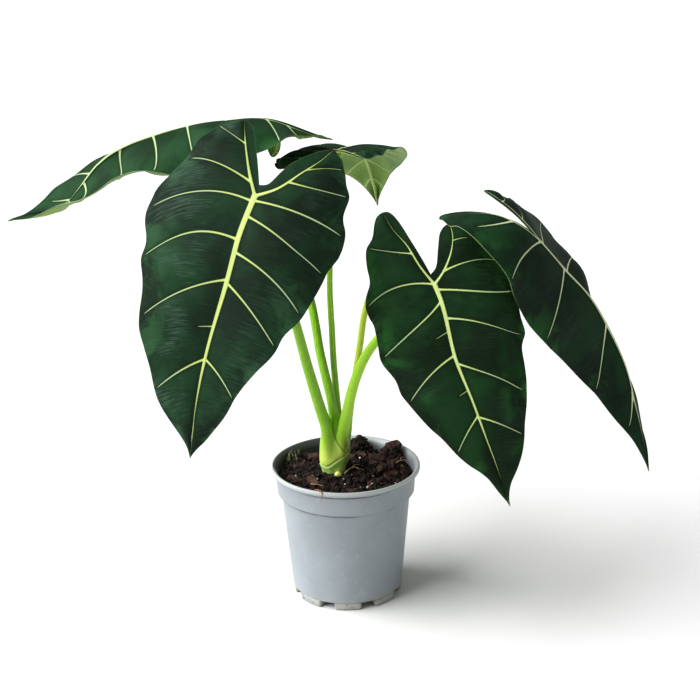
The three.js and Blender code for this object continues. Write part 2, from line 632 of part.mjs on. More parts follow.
/** One leaf blade, a closed thin solid with raised veins; a clearance thickens it as a cutter. */
function bladeGeometry(leaf, clearance = 0) {
  const surface = new LeafSurface(leaf);
  const rows = rowTable();
  const faces = { top: [], under: [] };
  const walls = [];
  const half = BLADE_THICKNESS / 2 + clearance;

  const offsetPlace = (flat, side, row, share, ridge) => {
    const swell = flat.y < 1e-6 ? 0 : surfaceSwell(row, share);
    const place = surface.place(flat.x, flat.y, side);
    const normal = surface.normal(flat.x, flat.y, side);
    return {
      top: place.clone().addScaledVector(normal, swell + half + ridge.top),
      under: place.clone().addScaledVector(normal, swell - half - ridge.under),
    };
  };
  const ridgeAt = (row, share, onRib) => {
    const thinning = 1 - 0.85 * Math.max(row, 0) - 0.5 * Math.max(-row, 0);
    const rib = onRib ? thinning : 0;
    const lateral = veinStrength(row) * clamp(1.15 - share, 0, 1) * (share < 1 ? 1 : 0);
    return {
      top: Math.max(MIDRIB_RELIEF.top * rib, LATERAL_RELIEF.top * lateral),
      under: Math.max(MIDRIB_RELIEF.under * rib, LATERAL_RELIEF.under * lateral),
    };
  };
  const addQuad = (a, b, c, d, flip) => {
    for (const face of ["top", "under"]) {
      const turn = flip !== (face === "under");
      const corners = [a, b, c, d].map((corner) => corner[face]);
      const triangles = [[0, 1, 2], [0, 2, 3]];
      for (const [i, j, k] of triangles) {
        faces[face].push(corners[i], corners[turn ? k : j], corners[turn ? j : k]);
      }
    }
  };
  const addWall = (a, b, flip) => {
    const corners = flip ? [b, a] : [a, b];
    const [from, to] = corners;
    walls.push(from.top, to.top, to.under, from.top, to.under, from.under);
  };

  for (const side of [-1, 1]) {
    const flip = side > 0;
    const grid = rows.map((row) => {
      if (Math.abs(row) === 1) {
        const tip = offsetPlace(surface.onRib(row, side), side, row, 0, { top: 0, under: 0 });
        return Array(ACROSS + 1).fill(tip);
      }
      const line = [];
      for (let i = 0; i <= ACROSS; i += 1) {
        const share = i / ACROSS;
        const ridge = ridgeAt(row, share, i === 0);
        line.push(offsetPlace(surface.onRow(row, share, side), side, row, share, ridge));
      }
      return line;
    });
    for (let i = 1; i < rows.length; i += 1) {
      for (let j = 1; j <= ACROSS; j += 1) {
        addQuad(grid[i - 1][j - 1], grid[i][j - 1], grid[i][j], grid[i - 1][j], flip);
      }
      addWall(grid[i - 1][ACROSS], grid[i][ACROSS], flip);
    }
    const innerRows = rows.filter((row) => row <= 0);
    const inner = innerRows.map((row, i) => {
      const rib = grid[i][0];
      const flat = surface.onInnerRow(row, 1, side);
      const edge = offsetPlace(flat, side, row, 0, { top: 0, under: 0 });
      return [rib, row === -1 ? rib : edge];
    });
    for (let i = 1; i < innerRows.length; i += 1) {
      addQuad(inner[i - 1][1], inner[i][1], inner[i][0], inner[i - 1][0], flip);
      addWall(inner[i - 1][1], inner[i][1], !flip);
    }
  }
  const corners = [...faces.top, ...faces.under, ...walls];
  const geometry = new THREE.BufferGeometry().setFromPoints(corners);
  return welded(geometry, 1e-3);
}

// Petioles

/** Where a petiole ends: the middle of its round top, under the midrib's foot. */
function petioleEnd(leaf) {
  const { point, up } = new LeafSurface(leaf).frame(0);
  const drop = leaf.petiole.top + BLADE_THICKNESS / 2 + MIDRIB_RELIEF.under + GAP;
  return point.addScaledVector(up, -drop);
}

/** Profile of a straight stalk, from its flat foot to its round top. */
function stalkProfile({ base, top }, length) {
  const steps = Math.round(length / STALK_STEP);
  const profile = [[0, 0], [base, FLAT_FOOT]];
  for (let i = 1; i < steps; i += 1) {
    const share = i / steps;
    profile.push([lerp(base, top, share ** STALK_TAPER), length * share]);
  }
  for (const angle of [0, 35, 65]) {
    profile.push([top * Math.cos(angle * DEGREE), length + top * Math.sin(angle * DEGREE)]);
  }
  return [...profile, [0, length + top]];
}

/** A tapered round stalk, turned straight and then laid along its path. */
function petioleGeometry(leaf) {
  const points = [...leaf.petiole.path.map((place) => new THREE.Vector3(...place)), petioleEnd(leaf)];
  const curve = new THREE.CatmullRomCurve3(points, false, "centripetal");
  const length = curve.getLength();
  const profile = stalkProfile(leaf.petiole, length).map(([x, y]) => new THREE.Vector2(x, y));
  const stalk = new THREE.LatheGeometry(profile, STALK_SIDES);
  const place = stalk.getAttribute("position");
  const spot = new THREE.Vector3();
  for (let i = 0; i < place.count; i += 1) {
    spot.fromBufferAttribute(place, i);
    const share = clamp(spot.y / length, 0, 1);
    const ahead = curve.getTangentAt(share);
    const sideways = new THREE.Vector3(0, 1, 0).addScaledVector(ahead, -ahead.y).normalize();
    const across = new THREE.Vector3().crossVectors(ahead, sideways);
    const centre = curve.getPointAt(share).addScaledVector(ahead, Math.max(spot.y - length, 0));
    centre.addScaledVector(across, spot.x).addScaledVector(sideways, spot.z);
    place.setXYZ(i, centre.x, centre.y, centre.z);
  }
  return stalk;
}

// Assembly

const plant = new THREE.Group();
plant.add(pot(), soil(), namedMesh("stem_base", welded(stemBaseGeometry()), "stem"));

const stemCut = toSolid(stemBaseGeometry(GAP));
for (const [name, leaf] of Object.entries(LEAVES)) {
  const bladeCut = toSolid(bladeGeometry(leaf, GAP));
  const stalk = mainBody(toSolid(petioleGeometry(leaf)).subtract(stemCut).subtract(bladeCut));
  plant.add(namedMesh(`petiole_${name}`, fromSolid(stalk), "stem"));
  plant.add(namedMesh(`blade_${name}`, bladeGeometry(leaf), "blade"));
}

export default plant;
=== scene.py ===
"""Potted alocasia: the looks of its pot, soil, stem base, leaf stalks and blades.

Sizes are in millimetres in the row frame, and become metres when a mesh is written.
"""
from __future__ import annotations

import logging
import math
from collections.abc import Callable, Iterator
from contextlib import contextmanager
from dataclasses import dataclass, field
from enum import Enum

import bpy
import numpy as np
from mathutils import Matrix, Vector, noise

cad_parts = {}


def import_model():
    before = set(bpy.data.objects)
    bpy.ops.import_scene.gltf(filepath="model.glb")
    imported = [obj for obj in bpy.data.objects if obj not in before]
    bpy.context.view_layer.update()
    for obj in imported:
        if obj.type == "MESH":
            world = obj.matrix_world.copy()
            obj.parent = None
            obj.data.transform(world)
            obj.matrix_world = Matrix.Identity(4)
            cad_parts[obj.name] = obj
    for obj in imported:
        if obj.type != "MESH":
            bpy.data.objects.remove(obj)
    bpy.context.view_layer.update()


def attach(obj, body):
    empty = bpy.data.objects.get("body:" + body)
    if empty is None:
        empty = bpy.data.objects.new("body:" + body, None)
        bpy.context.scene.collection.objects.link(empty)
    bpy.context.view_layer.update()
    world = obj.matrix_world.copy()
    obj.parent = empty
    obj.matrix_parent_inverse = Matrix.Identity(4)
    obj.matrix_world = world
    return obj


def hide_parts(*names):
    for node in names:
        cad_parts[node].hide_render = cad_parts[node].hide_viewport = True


LOG = logging.getLogger("alocasia")
MM = 0.001
SEED = 20
FULL_TURN = 6.28
Colour = tuple[float, float, float]
Place = tuple[float, float, float]
Marks = tuple[tuple[float, float], ...]
Piece = bpy.types.Object


class Slot(Enum):
    """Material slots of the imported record."""

    POT = "pot_plastic"
    SOIL = "peat_and_bark"
    STEM = "stem_skin"
    BLADE = "leaf_blade"


class Side(Enum):
    """Halves of a leaf, seen with its tip ahead and its upper side up."""

    LEFT = -1
    RIGHT = 1


# Mesh work


def deselect_all() -> None:
    """Leave edit mode and select nothing."""
    if bpy.context.mode != "OBJECT":
        bpy.ops.object.mode_set(mode="OBJECT")
    bpy.ops.object.select_all(action="DESELECT")


def pick(*pieces: Piece) -> None:
    """Select only the given pieces and make the first one active."""
    deselect_all()
    for each in pieces:
        each.select_set(True)
    bpy.context.view_layer.objects.active = pieces[0]


@contextmanager
def editing(piece: Piece, select: str = "SELECT") -> Iterator[None]:
    """Work on a piece in edit mode.

    Args:
        piece: The piece.
        select: SELECT or DESELECT for the whole mesh at first, or nothing.
    """
    pick(piece)
    bpy.ops.object.mode_set(mode="EDIT")
    if select:
        bpy.ops.mesh.select_all(action=select)
    yield
    bpy.ops.object.mode_set(mode="OBJECT")


def primitive(name: str, add: Callable[..., object], **settings: object) -> Piece:
    """Add a primitive with nothing else selected, its place kept in its mesh.

    Args:
        name: Name of the new piece.
        add: The operator that adds it.
        settings: The operator's own settings.

    Returns:
        The new piece.
    """
    deselect_all()
    add(**settings)
    piece = bpy.context.active_object
    piece.name = name
    bpy.ops.object.transform_apply(location=True, rotation=True, scale=True)
    return piece


def grid(name: str, columns: int, rows: int) -> tuple[Piece, np.ndarray, np.ndarray]:
    """Add a flat grid, which the caller lays in space.

    Args:
        name: Name of the new piece.
        columns: Cells along X.
        rows: Cells along Y.

    Returns:
        The grid, and the column and row number of each vertex.
    """
    piece = primitive(name, bpy.ops.mesh.primitive_grid_add, x_subdivisions=columns, y_subdivisions=rows,
                      size=1)
    spots = read_places(piece)[:, :2]
    share = (spots - spots.min(axis=0)) / np.ptp(spots, axis=0)
    column, row = np.rint(share * (columns, rows)).astype(int).T
    return piece, column, row


def read_places(piece: Piece) -> np.ndarray:
    """Read a mesh's vertices in metres, one row each."""
    places = np.empty(len(piece.data.vertices) * 3)
    piece.data.vertices.foreach_get("co", places)
    return places.reshape(-1, 3)


def write_places(piece: Piece, places: np.ndarray) -> None:
    """Give a mesh new vertex places in metres, one row each."""
    piece.data.vertices.foreach_set("co", np.ascontiguousarray(places).reshape(-1))
    piece.data.update()


def write_measure(piece: Piece, name: str, values: np.ndarray) -> None:
    """Store one number for each vertex, for a material to read.

    Args:
        piece: A mesh object.
        name: Name of the attribute, which replaces an old one of that name.
        values: One number for each vertex.
    """
    layers = piece.data.attributes
    if layers.get(name):
        layers.remove(layers[name])
    layers.new(name, "FLOAT", "POINT").data.foreach_set("value", np.ascontiguousarray(values, np.float32))


def write_uv(piece: Piece, name: str, flat: np.ndarray) -> None:
    """Store a UV map that has one place for each vertex.

    Args:
        piece: A mesh object.
        name: Name of the UV map.
        flat: Two numbers for each vertex.
    """
    mesh = piece.data
    layer = mesh.uv_layers[0] if mesh.uv_layers else mesh.uv_layers.new(name=name)
    layer.name = name
    corner = np.empty(len(mesh.loops), dtype=np.int64)
    mesh.loops.foreach_get("vertex_index", corner)
    layer.data.foreach_set("uv", np.ascontiguousarray(flat[corner], np.float32).reshape(-1))


def apply_modifier(piece: Piece, kind: str, **settings: object) -> None:
    """Add a modifier to a piece, and apply it.

    Args:
        piece: The piece to change.
        kind: Blender's name for the modifier type.
        settings: The modifier's own settings.
    """
    pick(piece)
    modifier = piece.modifiers.new(kind.title(), kind)
    for key, value in settings.items():
        setattr(modifier, key, value)
    bpy.ops.object.modifier_apply(modifier=modifier.name)


def smooth(piece: Piece, degrees: float) -> Piece:
    """Shade a piece smooth, but for edges sharper than an angle, and return it."""
    pick(piece)
    bpy.ops.object.shade_smooth_by_angle(angle=math.radians(degrees))
    return piece


def join(pieces: list[Piece], name: str) -> Piece:
    """Join several pieces into the first of them, and return it under a new name."""
    pick(*pieces)
    bpy.ops.object.join()
    pieces[0].name = name
    pieces[0].data.name = name
    return pieces[0]


def close_up() -> None:
    """In edit mode, cap the selected loop and turn all faces outwards."""
    bpy.ops.mesh.fill()
    bpy.ops.mesh.select_all(action="SELECT")
    bpy.ops.mesh.normals_make_consistent(inside=False)


def turned(name: str, profile: list[tuple[float, float]], sides: int) -> Piece:
    """Turn a profile about the axis by drawing a circle out ring by ring.

    Args:
        name: Name of the new piece.
        profile: Radius and height of each ring in millimetres, without the ends on the axis.
        sides: Number of sides.

    Returns:
        A closed piece, capped at both ends.
    """
    (radius, height), *rest = profile
    piece = primitive(name, bpy.ops.mesh.primitive_circle_add, vertices=sides, radius=radius * MM,
                      location=(0, 0, height * MM), fill_type="TRIFAN")
    with editing(piece):
        bpy.ops.mesh.region_to_loop()
        for next_radius, next_height in rest:
            bpy.ops.mesh.extrude_edges_move(
                TRANSFORM_OT_translate={"value": (0, 0, (next_height - height) * MM)})
            share = next_radius / radius
            bpy.ops.transform.resize(value=(share, share, 1), center_override=(0, 0, next_height * MM))
            radius, height = next_radius, next_height
        close_up()
    return piece


def straight_bar(name: str, sides: int, rings: int) -> Piece:
    """Make a closed round bar of radius 1 from height 0 to 1, cut into rings.

    Args:
        name: Name of the new piece.
        sides: Number of sides.
        rings: Number of rings between its ends.

    Returns:
        The bar, whose vertices the caller lays along a path.
    """
    piece = primitive(name, bpy.ops.mesh.primitive_cylinder_add, vertices=sides, radius=1, depth=1,
                      location=(0, 0, 0.5), end_fill_type="TRIFAN")
    settings = bpy.context.tool_settings
    settings.mesh_select_mode = (False, True, False)
    with editing(piece, "DESELECT"):
        pass
    vertices = piece.data.vertices
    for edge in piece.data.edges:
        low, high = (vertices[i].co.z for i in edge.vertices)
        edge.select = abs(high - low) > 0.5
    with editing(piece, ""):
        bpy.ops.mesh.subdivide(number_cuts=rings)
        settings.mesh_select_mode = (True, False, False)
    return piece


def copies(name: str, seeds: list[Piece], at: np.ndarray, turns: np.ndarray, sizes: np.ndarray,
           rng: np.random.Generator) -> Piece:
    """Lay many copies of a few modelled shapes, and keep them as one piece.

    Args:
        name: Name of the new piece.
        seeds: The modelled shapes, about 1 m across, which are removed afterwards.
        at: Place of each copy in millimetres.
        turns: Turns of each copy about X, Y and Z in radians.
        sizes: Size of each copy along its own X, Y and Z in millimetres.
        rng: Source of random numbers.

    Returns:
        One piece with the measure "tone", and a UV map "grain" along each copy.
    """
    shapes = [(read_places(each), [list(face.vertices) for face in each.data.polygons]) for each in seeds]
    places, faces, tones, flats = [], [], [], []
    total = 0
    for middle, angles, size in zip(at, turns, sizes):
        shape, shape_faces = shapes[int(rng.integers(len(shapes)))]
        sized = shape * size
        about_x, about_y, about_z = (Matrix.Rotation(turn, 3, axis) for turn, axis in zip(angles, "XYZ"))
        places.append((sized @ np.array(about_z @ about_y @ about_x).T + middle) * MM)
        faces += [[corner + total for corner in face] for face in shape_faces]
        tones.append(np.full(len(shape), rng.random()))
        flats.append(sized[:, :2] / 10 + rng.random(2) * 8)
        total += len(shape)
    mesh = bpy.data.meshes.new(name)
    mesh.from_pydata(np.vstack(places).tolist(), [], faces)
    piece = bpy.data.objects.new(name, mesh)
    bpy.context.scene.collection.objects.link(piece)
    write_measure(piece, "tone", np.concatenate(tones))
    write_uv(piece, "grain", np.vstack(flats))
    for each in seeds:
        bpy.data.objects.remove(each)
    return piece


# Curves


def drawn(points: object, per_span: int, power: float = 0.0, run_on: bool = True) -> np.ndarray:
    """Draw a smooth line through points, as a Catmull-Rom spline.

    Args:
        points: The points, one row each.
        per_span: Samples between two points.
        power: 0 for evenly spaced points, 0.5 for uneven ones, where it avoids loops.
        run_on: Whether the line heads straight on at its ends, rather than stopping there.

    Returns:
        The line's points.
    """
    points = np.array(points, float)
    first, last = points[[0, 1]], points[[-1, -2]]
    ends = [2 * end - inner if run_on else end for end, inner in (first, last)]
    padded = np.vstack([ends[0], points, ends[1]])
    t = np.linspace(0, 1, per_span, endpoint=False)[:, None]
    spans = []
    for a, b, c, d in zip(padded, padded[1:], padded[2:], padded[3:]):
        before, between, after = (np.linalg.norm(q - p) ** power for p, q in ((a, b), (b, c), (c, d)))
        leaving = ((b - a) / before - (c - a) / (before + between) + (c - b) / between) * between
        arriving = ((c - b) / between - (d - b) / (between + after) + (d - c) / after) * between
        spans.append(b + leaving * t + (-3 * b + 3 * c - 2 * leaving - arriving) * t**2
                     + (2 * b - 2 * c + leaving + arriving) * t**3)
    return np.vstack([*spans, points[-1:]])


class Line:
    """A line through points, read by the distance from its start."""

    def __init__(self, points: np.ndarray, size: object = 1.0) -> None:
        """Measure the line.

        Args:
            points: Its points, one row each.
            size: What a point is multiplied by to be in millimetres.
        """
        self.points = points
        steps = np.linalg.norm(np.diff(points * size, axis=0), axis=1)
        self.reach = np.concatenate([[0], np.cumsum(steps)])
        self.length = float(self.reach[-1])

    def at(self, distance: np.ndarray, values: np.ndarray | None = None) -> np.ndarray:
        """Find what lies at given distances.

        Args:
            distance: The distances in millimetres.
            values: What is given for each point, if not its place.

        Returns:
            One row for each distance.
        """
        values = self.points if values is None else values
        return np.stack([np.interp(distance, self.reach, column) for column in values.T], axis=-1)

    def tangents(self) -> np.ndarray:
        """Find the line's direction at each of its points."""
        return unit(np.gradient(self.points, axis=0))

    def nearest(self, spots: np.ndarray) -> tuple[np.ndarray, np.ndarray, np.ndarray]:
        """Find the part of a flat line that lies nearest to each spot.

        Args:
            spots: Flat places, one row each.

        Returns:
            The distance to it, its place in point numbers, and whether the spot lies to its right.
        """
        start, along = self.points[:-1], np.diff(self.points, axis=0)
        offset = spots[:, None] - start
        t = np.clip((offset * along).sum(-1) / np.maximum((along**2).sum(-1), 1e-9), 0, 1)
        gap = offset - along * t[..., None]
        distance = np.linalg.norm(gap, axis=-1)
        best = np.argmin(distance, axis=1)
        rows = np.arange(len(spots))
        (x, y), (gap_x, gap_y) = along[best].T, gap[rows, best].T
        return distance[rows, best], best + t[rows, best], x * gap_y < y * gap_x


def unit(vectors: np.ndarray) -> np.ndarray:
    """Scale each row to length 1."""
    return vectors / np.maximum(np.linalg.norm(vectors, axis=-1, keepdims=True), 1e-12)


def eased(table: object, x: np.ndarray, column: int) -> np.ndarray:
    """Read a table of rows with smooth changes from row to row.

    Args:
        table: Rows of place and values.
        x: Places to read at.
        column: Which value to read.

    Returns:
        One value for each place.
    """
    rows = np.array(table, float)
    places, values = rows[:, 0], rows[:, column]
    slopes = np.gradient(values, places)
    slopes[[0, -1]] = 0
    x = np.clip(x, places[0], places[-1])
    i = np.clip(np.searchsorted(places, x, side="right") - 1, 0, len(places) - 2)
    span = places[i + 1] - places[i]
    t = (x - places[i]) / span
    return ((2 * t**3 - 3 * t**2 + 1) * values[i] + (t**3 - 2 * t**2 + t) * span * slopes[i]
            + (3 * t**2 - 2 * t**3) * values[i + 1] + (t**3 - t**2) * span * slopes[i + 1])


def step_between(value: np.ndarray, low: float, high: float) -> np.ndarray:
    """Rise smoothly from 0 at one value to 1 at another."""
    t = np.clip((value - low) / (high - low), 0, 1)
    return t * t * (3 - 2 * t)


def bell(value: np.ndarray, width: float) -> np.ndarray:
    """Fall from 1 at 0 to nearly nothing at twice the width, on both sides."""
    return np.exp(-((value / width) ** 2))


# Materials


@dataclass(frozen=True)
class Signal:
    """A node's output in one tree, with plain arithmetic for numbers."""

    bench: NodeBench
    socket: bpy.types.NodeSocket

    def __mul__(self, other: object) -> Signal:
        """Multiply two numbers."""
        return self.bench.maths("MULTIPLY", self, other)

    def __add__(self, other: object) -> Signal:
        """Add two numbers."""
        return self.bench.maths("ADD", self, other)

    def most(self, other: object) -> Signal:
        """Take the greater of two numbers."""
        return self.bench.maths("MAXIMUM", self, other)

    def step(self, low: object, high: object) -> Signal:
        """Rise smoothly from 0 at the low value to 1 at the high one."""
        inputs = {"Value": self, "From Min": low, "From Max": high}
        return self.bench.node("ShaderNodeMapRange", inputs, "Result", interpolation_type="SMOOTHSTEP")


class NodeBench:
    """Adds and links nodes in one material or node group."""

    def __init__(self, tree: bpy.types.NodeTree) -> None:
        """Take the tree to work on."""
        self.tree = tree

    def feed(self, socket: bpy.types.NodeSocket, value: object) -> None:
        """Link an input to a signal, or give it a plain value."""
        if isinstance(value, Signal):
            self.tree.links.new(value.socket, socket)
        else:
            socket.default_value = (*value, 1) if socket.type == "RGBA" else value

    def node(self, kind: str, inputs: dict[int | str, object], output: int | str = 0,
             **settings: object) -> Signal:
        """Add a node.

        Args:
            kind: Name of the node type.
            inputs: Values or signals, by the input's name or number.
            output: The output that is wanted.
            settings: The node's own settings.

        Returns:
            That output.
        """
        node = self.tree.nodes.new(kind)
        for key, value in settings.items():
            setattr(node, key, value)
        for key, value in inputs.items():
            self.feed(node.inputs[key], value)
        return Signal(self, node.outputs[output])

    def maths(self, operation: str, first: object, second: object = 0.0) -> Signal:
        """Work out one number from two, by Blender's name for the operation."""
        return self.node("ShaderNodeMath", {0: first, 1: second}, operation=operation)

    def mix(self, share: object, first: object, second: object) -> Signal:
        """Blend two colours; the share is how much of the second one shows."""
        return self.node("ShaderNodeMix", {0: share, 6: first, 7: second}, 2, data_type="RGBA",
                         clamp_factor=True)

    def noise(self, at: object, scale: object, detail: float, rough: float = 0.55,
              warp: float = 0.0) -> Signal:
        """Make a cloudy pattern.

        Args:
            at: Where to read the pattern.
            scale: How fine it is.
            detail: How many finer layers it has.
            rough: How strong the finer layers are.
            warp: How far it is pulled out of shape.

        Returns:
            The pattern, mostly between 0.3 and 0.7.
        """
        inputs = {"Vector": at, "Scale": scale, "Detail": detail, "Roughness": rough, "Distortion": warp}
        return self.node("ShaderNodeTexNoise", inputs, "Fac")

    def parts(self, at: object) -> list[Signal]:
        """Take a place apart into its three numbers."""
        socket = self.node("ShaderNodeSeparateXYZ", {0: at}).socket
        return [Signal(self, each) for each in socket.node.outputs]


class Effects:
    """Shader node groups that several materials share: a place and numbers in, a mask out."""

    def __init__(self) -> None:
        """Build each group once."""
        self.mottle = self._build("mottle", self._mottle, Scale=20.0, Low=0.4, High=0.6)
        self.streaks = self._build("streaks", self._streaks, Across=1.0, Along=0.1, Low=0.45, High=0.65)
        self.specks = self._build("specks", self._specks, Scale=200.0, Size=0.1, Share=0.2)

    @staticmethod
    def _build(name: str, fill: Callable[[NodeBench, dict[str, Signal]], Signal],
               **numbers: float) -> bpy.types.NodeTree:
        """Make a group.

        Args:
            name: Name of the group.
            fill: The method that adds its nodes and returns the mask.
            numbers: Its number inputs and their first values.

        Returns:
            The group.
        """
        tree = bpy.data.node_groups.new(name, "ShaderNodeTree")
        tree.interface.new_socket("Vector", in_out="INPUT", socket_type="NodeSocketVector")
        for key, value in numbers.items():
            socket = tree.interface.new_socket(key, in_out="INPUT", socket_type="NodeSocketFloat")
            socket.default_value = value
        tree.interface.new_socket("Mask", in_out="OUTPUT", socket_type="NodeSocketFloat")
        bench = NodeBench(tree)
        entry = tree.nodes.new("NodeGroupInput")
        given = {each.name: Signal(bench, each) for each in entry.outputs if each.name}
        bench.feed(tree.nodes.new("NodeGroupOutput").inputs[0], fill(bench, given))
        return tree

    @staticmethod
    def _mottle(bench: NodeBench, given: dict[str, Signal]) -> Signal:
        """Cloudy patches with soft edges."""
        return bench.noise(given["Vector"], given["Scale"], 4, 0.55, 0.4).step(given["Low"], given["High"])

    @staticmethod
    def _streaks(bench: NodeBench, given: dict[str, Signal]) -> Signal:
        """Strands that run along V of a UV map, given in centimetres."""
        across, along, _ = bench.parts(given["Vector"])
        place = bench.node("ShaderNodeCombineXYZ", {0: across * given["Across"], 1: along * given["Along"]})
        return bench.noise(place, 1.0, 3, 0.6, 0.25).step(given["Low"], given["High"])

    @staticmethod
    def _specks(bench: NodeBench, given: dict[str, Signal]) -> Signal:
        """Small round dots, in only a share of the cells."""
        inputs = {"Vector": given["Vector"], "Scale": given["Scale"]}
        distance = bench.node("ShaderNodeTexVoronoi", inputs, "Distance")
        colour = Signal(bench, distance.socket.node.outputs["Color"])
        lot = bench.node("ShaderNodeSeparateColor", {0: colour})
        return distance.step(given["Size"], 0.0) * bench.maths("LESS_THAN", lot, given["Share"])


class PaintBench(NodeBench):
    """Lays colours over one another in one material, and feeds its shader."""

    def __init__(self, tree: bpy.types.NodeTree, effects: Effects) -> None:
        """Find the shader, and the place on the object.

        Args:
            tree: The material's tree.
            effects: The shared effects.
        """
        super().__init__(tree)
        self.effects = effects
        self.shader = next(node for node in tree.nodes if node.type == "BSDF_PRINCIPLED")
        self.place = self.node("ShaderNodeTexCoord", {}, "Object")
        self.skin: object = None

    def measure(self, name: str) -> Signal:
        """Read a number stored on the mesh."""
        return self.node("ShaderNodeAttribute", {}, "Fac", attribute_name=name)

    def uv(self, name: str) -> Signal:
        """Read a UV map."""
        return self.node("ShaderNodeUVMap", {}, "UV", uv_map=name)

    def scaled(self, scale: Place) -> Signal:
        """Scale the place by a different number along each axis."""
        return self.node("ShaderNodeMapping", {"Vector": self.place, "Scale": scale}, "Vector")

    def mottle(self, scale: float, low: float, high: float, at: Signal | None = None) -> Signal:
        """Place cloudy patches that start at the low noise value and are full at the high one."""
        inputs = {"Vector": at or self.place, "Scale": scale, "Low": low, "High": high}
        return self.node("ShaderNodeGroup", inputs, node_tree=self.effects.mottle)

    def streaks(self, at: Signal, across: float, along: float, low: float, high: float) -> Signal:
        """Place strands along V of a UV map, so many to the centimetre."""
        inputs = {"Vector": at, "Across": across, "Along": along, "Low": low, "High": high}
        return self.node("ShaderNodeGroup", inputs, node_tree=self.effects.streaks)

    def specks(self, scale: float, size: float, share: float, at: Signal | None = None) -> Signal:
        """Place round dots in a share of the cells."""
        inputs = {"Vector": at or self.place, "Scale": scale, "Size": size, "Share": share}
        return self.node("ShaderNodeGroup", inputs, node_tree=self.effects.specks)

    def lay(self, colour: object, share: object = 1.0) -> None:
        """Lay a colour over what is there, as far as the share goes; the first one covers all."""
        self.skin = colour if self.skin is None else self.mix(share, self.skin, colour)

    def roughen(self, start: float, change: Signal) -> None:
        """Feed the roughness with a start and what is added to it."""
        self.feed(self.shader.inputs["Roughness"], change + start)

    def relief(self, height: Signal, distance: float, strength: float) -> None:
        """Raise the surface by a height map whose 1 stands out by a distance in millimetres."""
        inputs = {"Strength": strength, "Distance": distance * MM, "Height": height}
        self.feed(self.shader.inputs["Normal"], self.node("ShaderNodeBump", inputs, "Normal"))


@dataclass(frozen=True)
class Finish:
    """What all finishes have: a name and settings that are the same all over the surface."""

    name: str
    roughness: float = 0.5
    specular: float = 0.5
    subsurface: float = 0.0
    subsurface_depth: float = 2.0

    def paint(self, bench: PaintBench) -> None:
        """Lay the colours and what else changes over the surface; each finish has its own."""
        raise NotImplementedError

    def material(self, effects: Effects) -> bpy.types.Material:
        """Make the material with the shared effects, and return it."""
        material = bpy.data.materials.new(self.name)
        material.use_nodes = True
        bench = PaintBench(material.node_tree, effects)
        settings = {
            "Roughness": self.roughness, "Specular IOR Level": self.specular,
            "Subsurface Weight": self.subsurface, "Subsurface Scale": self.subsurface_depth * MM,
            "Subsurface Radius": (0.6, 1.0, 0.2)}
        for key, value in settings.items():
            bench.shader.inputs[key].default_value = value
        self.paint(bench)
        bench.feed(bench.shader.inputs["Base Color"], bench.skin)
        return material


@dataclass(frozen=True)
class VelvetBlade(Finish):
    """Upper side of a blade: near-black green velvet with pale veins, painted sheen strands and painted shade
    along the veins' sides.
    """

    roughness: float = 0.6
    specular: float = 0.05
    dark: Colour = (0.0042, 0.0105, 0.0052)
    green: Colour = (0.0062, 0.026, 0.0092)
    # Painted sheen of the velvet: its colour, how much of it, where its patches start, and its strength on
    # the right half.
    painted_sheen: Colour = (0.05, 0.098, 0.07)
    painted_sheen_share: float = 0.5
    painted_sheen_low: float = 0.45
    haze_right: float = 1.0
    bright: Colour = (0.010, 0.055, 0.0115)
    vein: Colour = (0.43, 0.50, 0.16)
    vein_end: Colour = (0.37, 0.46, 0.29)
    # Painted shade on the sides of the rounded veins.
    vein_side_shade: Colour = (0.14, 0.26, 0.05)
    rim: Colour = (0.07, 0.11, 0.05)

    def paint(self, bench: PaintBench) -> None:
        """Lay the velvet, its painted sheen strands, the veins with painted shade on their sides, and the
        margin.
        """
        rows, out, vein_edge = bench.uv("rows"), bench.measure("out_share"), bench.measure("vein_edge")
        bench.lay(self.dark)
        bench.lay(self.green, bench.mottle(24.0, 0.38, 0.66))
        bench.lay(self.bright, out.step(0.45, 1.0) * bench.mottle(34.0, 0.48, 0.62))
        # Painted sheen: pale strands in patches away from the rib, weaker on the right half, and faint
        # strands all over.
        strands = bench.streaks(rows, 11.0, 0.5, 0.4, 0.8)
        areas = bench.mottle(30.0, self.painted_sheen_low, self.painted_sheen_low + 0.22)
        on_right = bench.parts(rows)[0].step(1.0, -1.0) * (self.haze_right - 1)
        bench.lay(self.painted_sheen, strands * out.step(0.12, 0.6) * areas * (on_right + 1.0) * self.painted_sheen_share)
        bench.lay(self.painted_sheen, bench.streaks(rows, 22.0, 0.5, 0.42, 0.72) * 0.07)
        bench.lay(self.dark, vein_edge.step(3.2, 0.2) * 0.6)
        veined = vein_edge.step(0.16, -0.16)
        pale = bench.mix(out.step(0.1, 0.85), self.vein, self.vein_end)
        # The veins are pale, with darker green painted along their sides as the shade of their rounded
        # relief.
        bench.lay(bench.mix(vein_edge.step(-0.75, 0.1) * 0.55, pale, self.vein_side_shade), veined)
        bench.lay(self.rim, bench.measure("rim_edge").step(0.5, 0.2) * 0.3)
        bench.roughen(self.roughness, veined * -0.12)
        bench.relief(strands * 0.6 + bench.noise(bench.place, 900.0, 2) * 0.5, 0.18, 0.6)


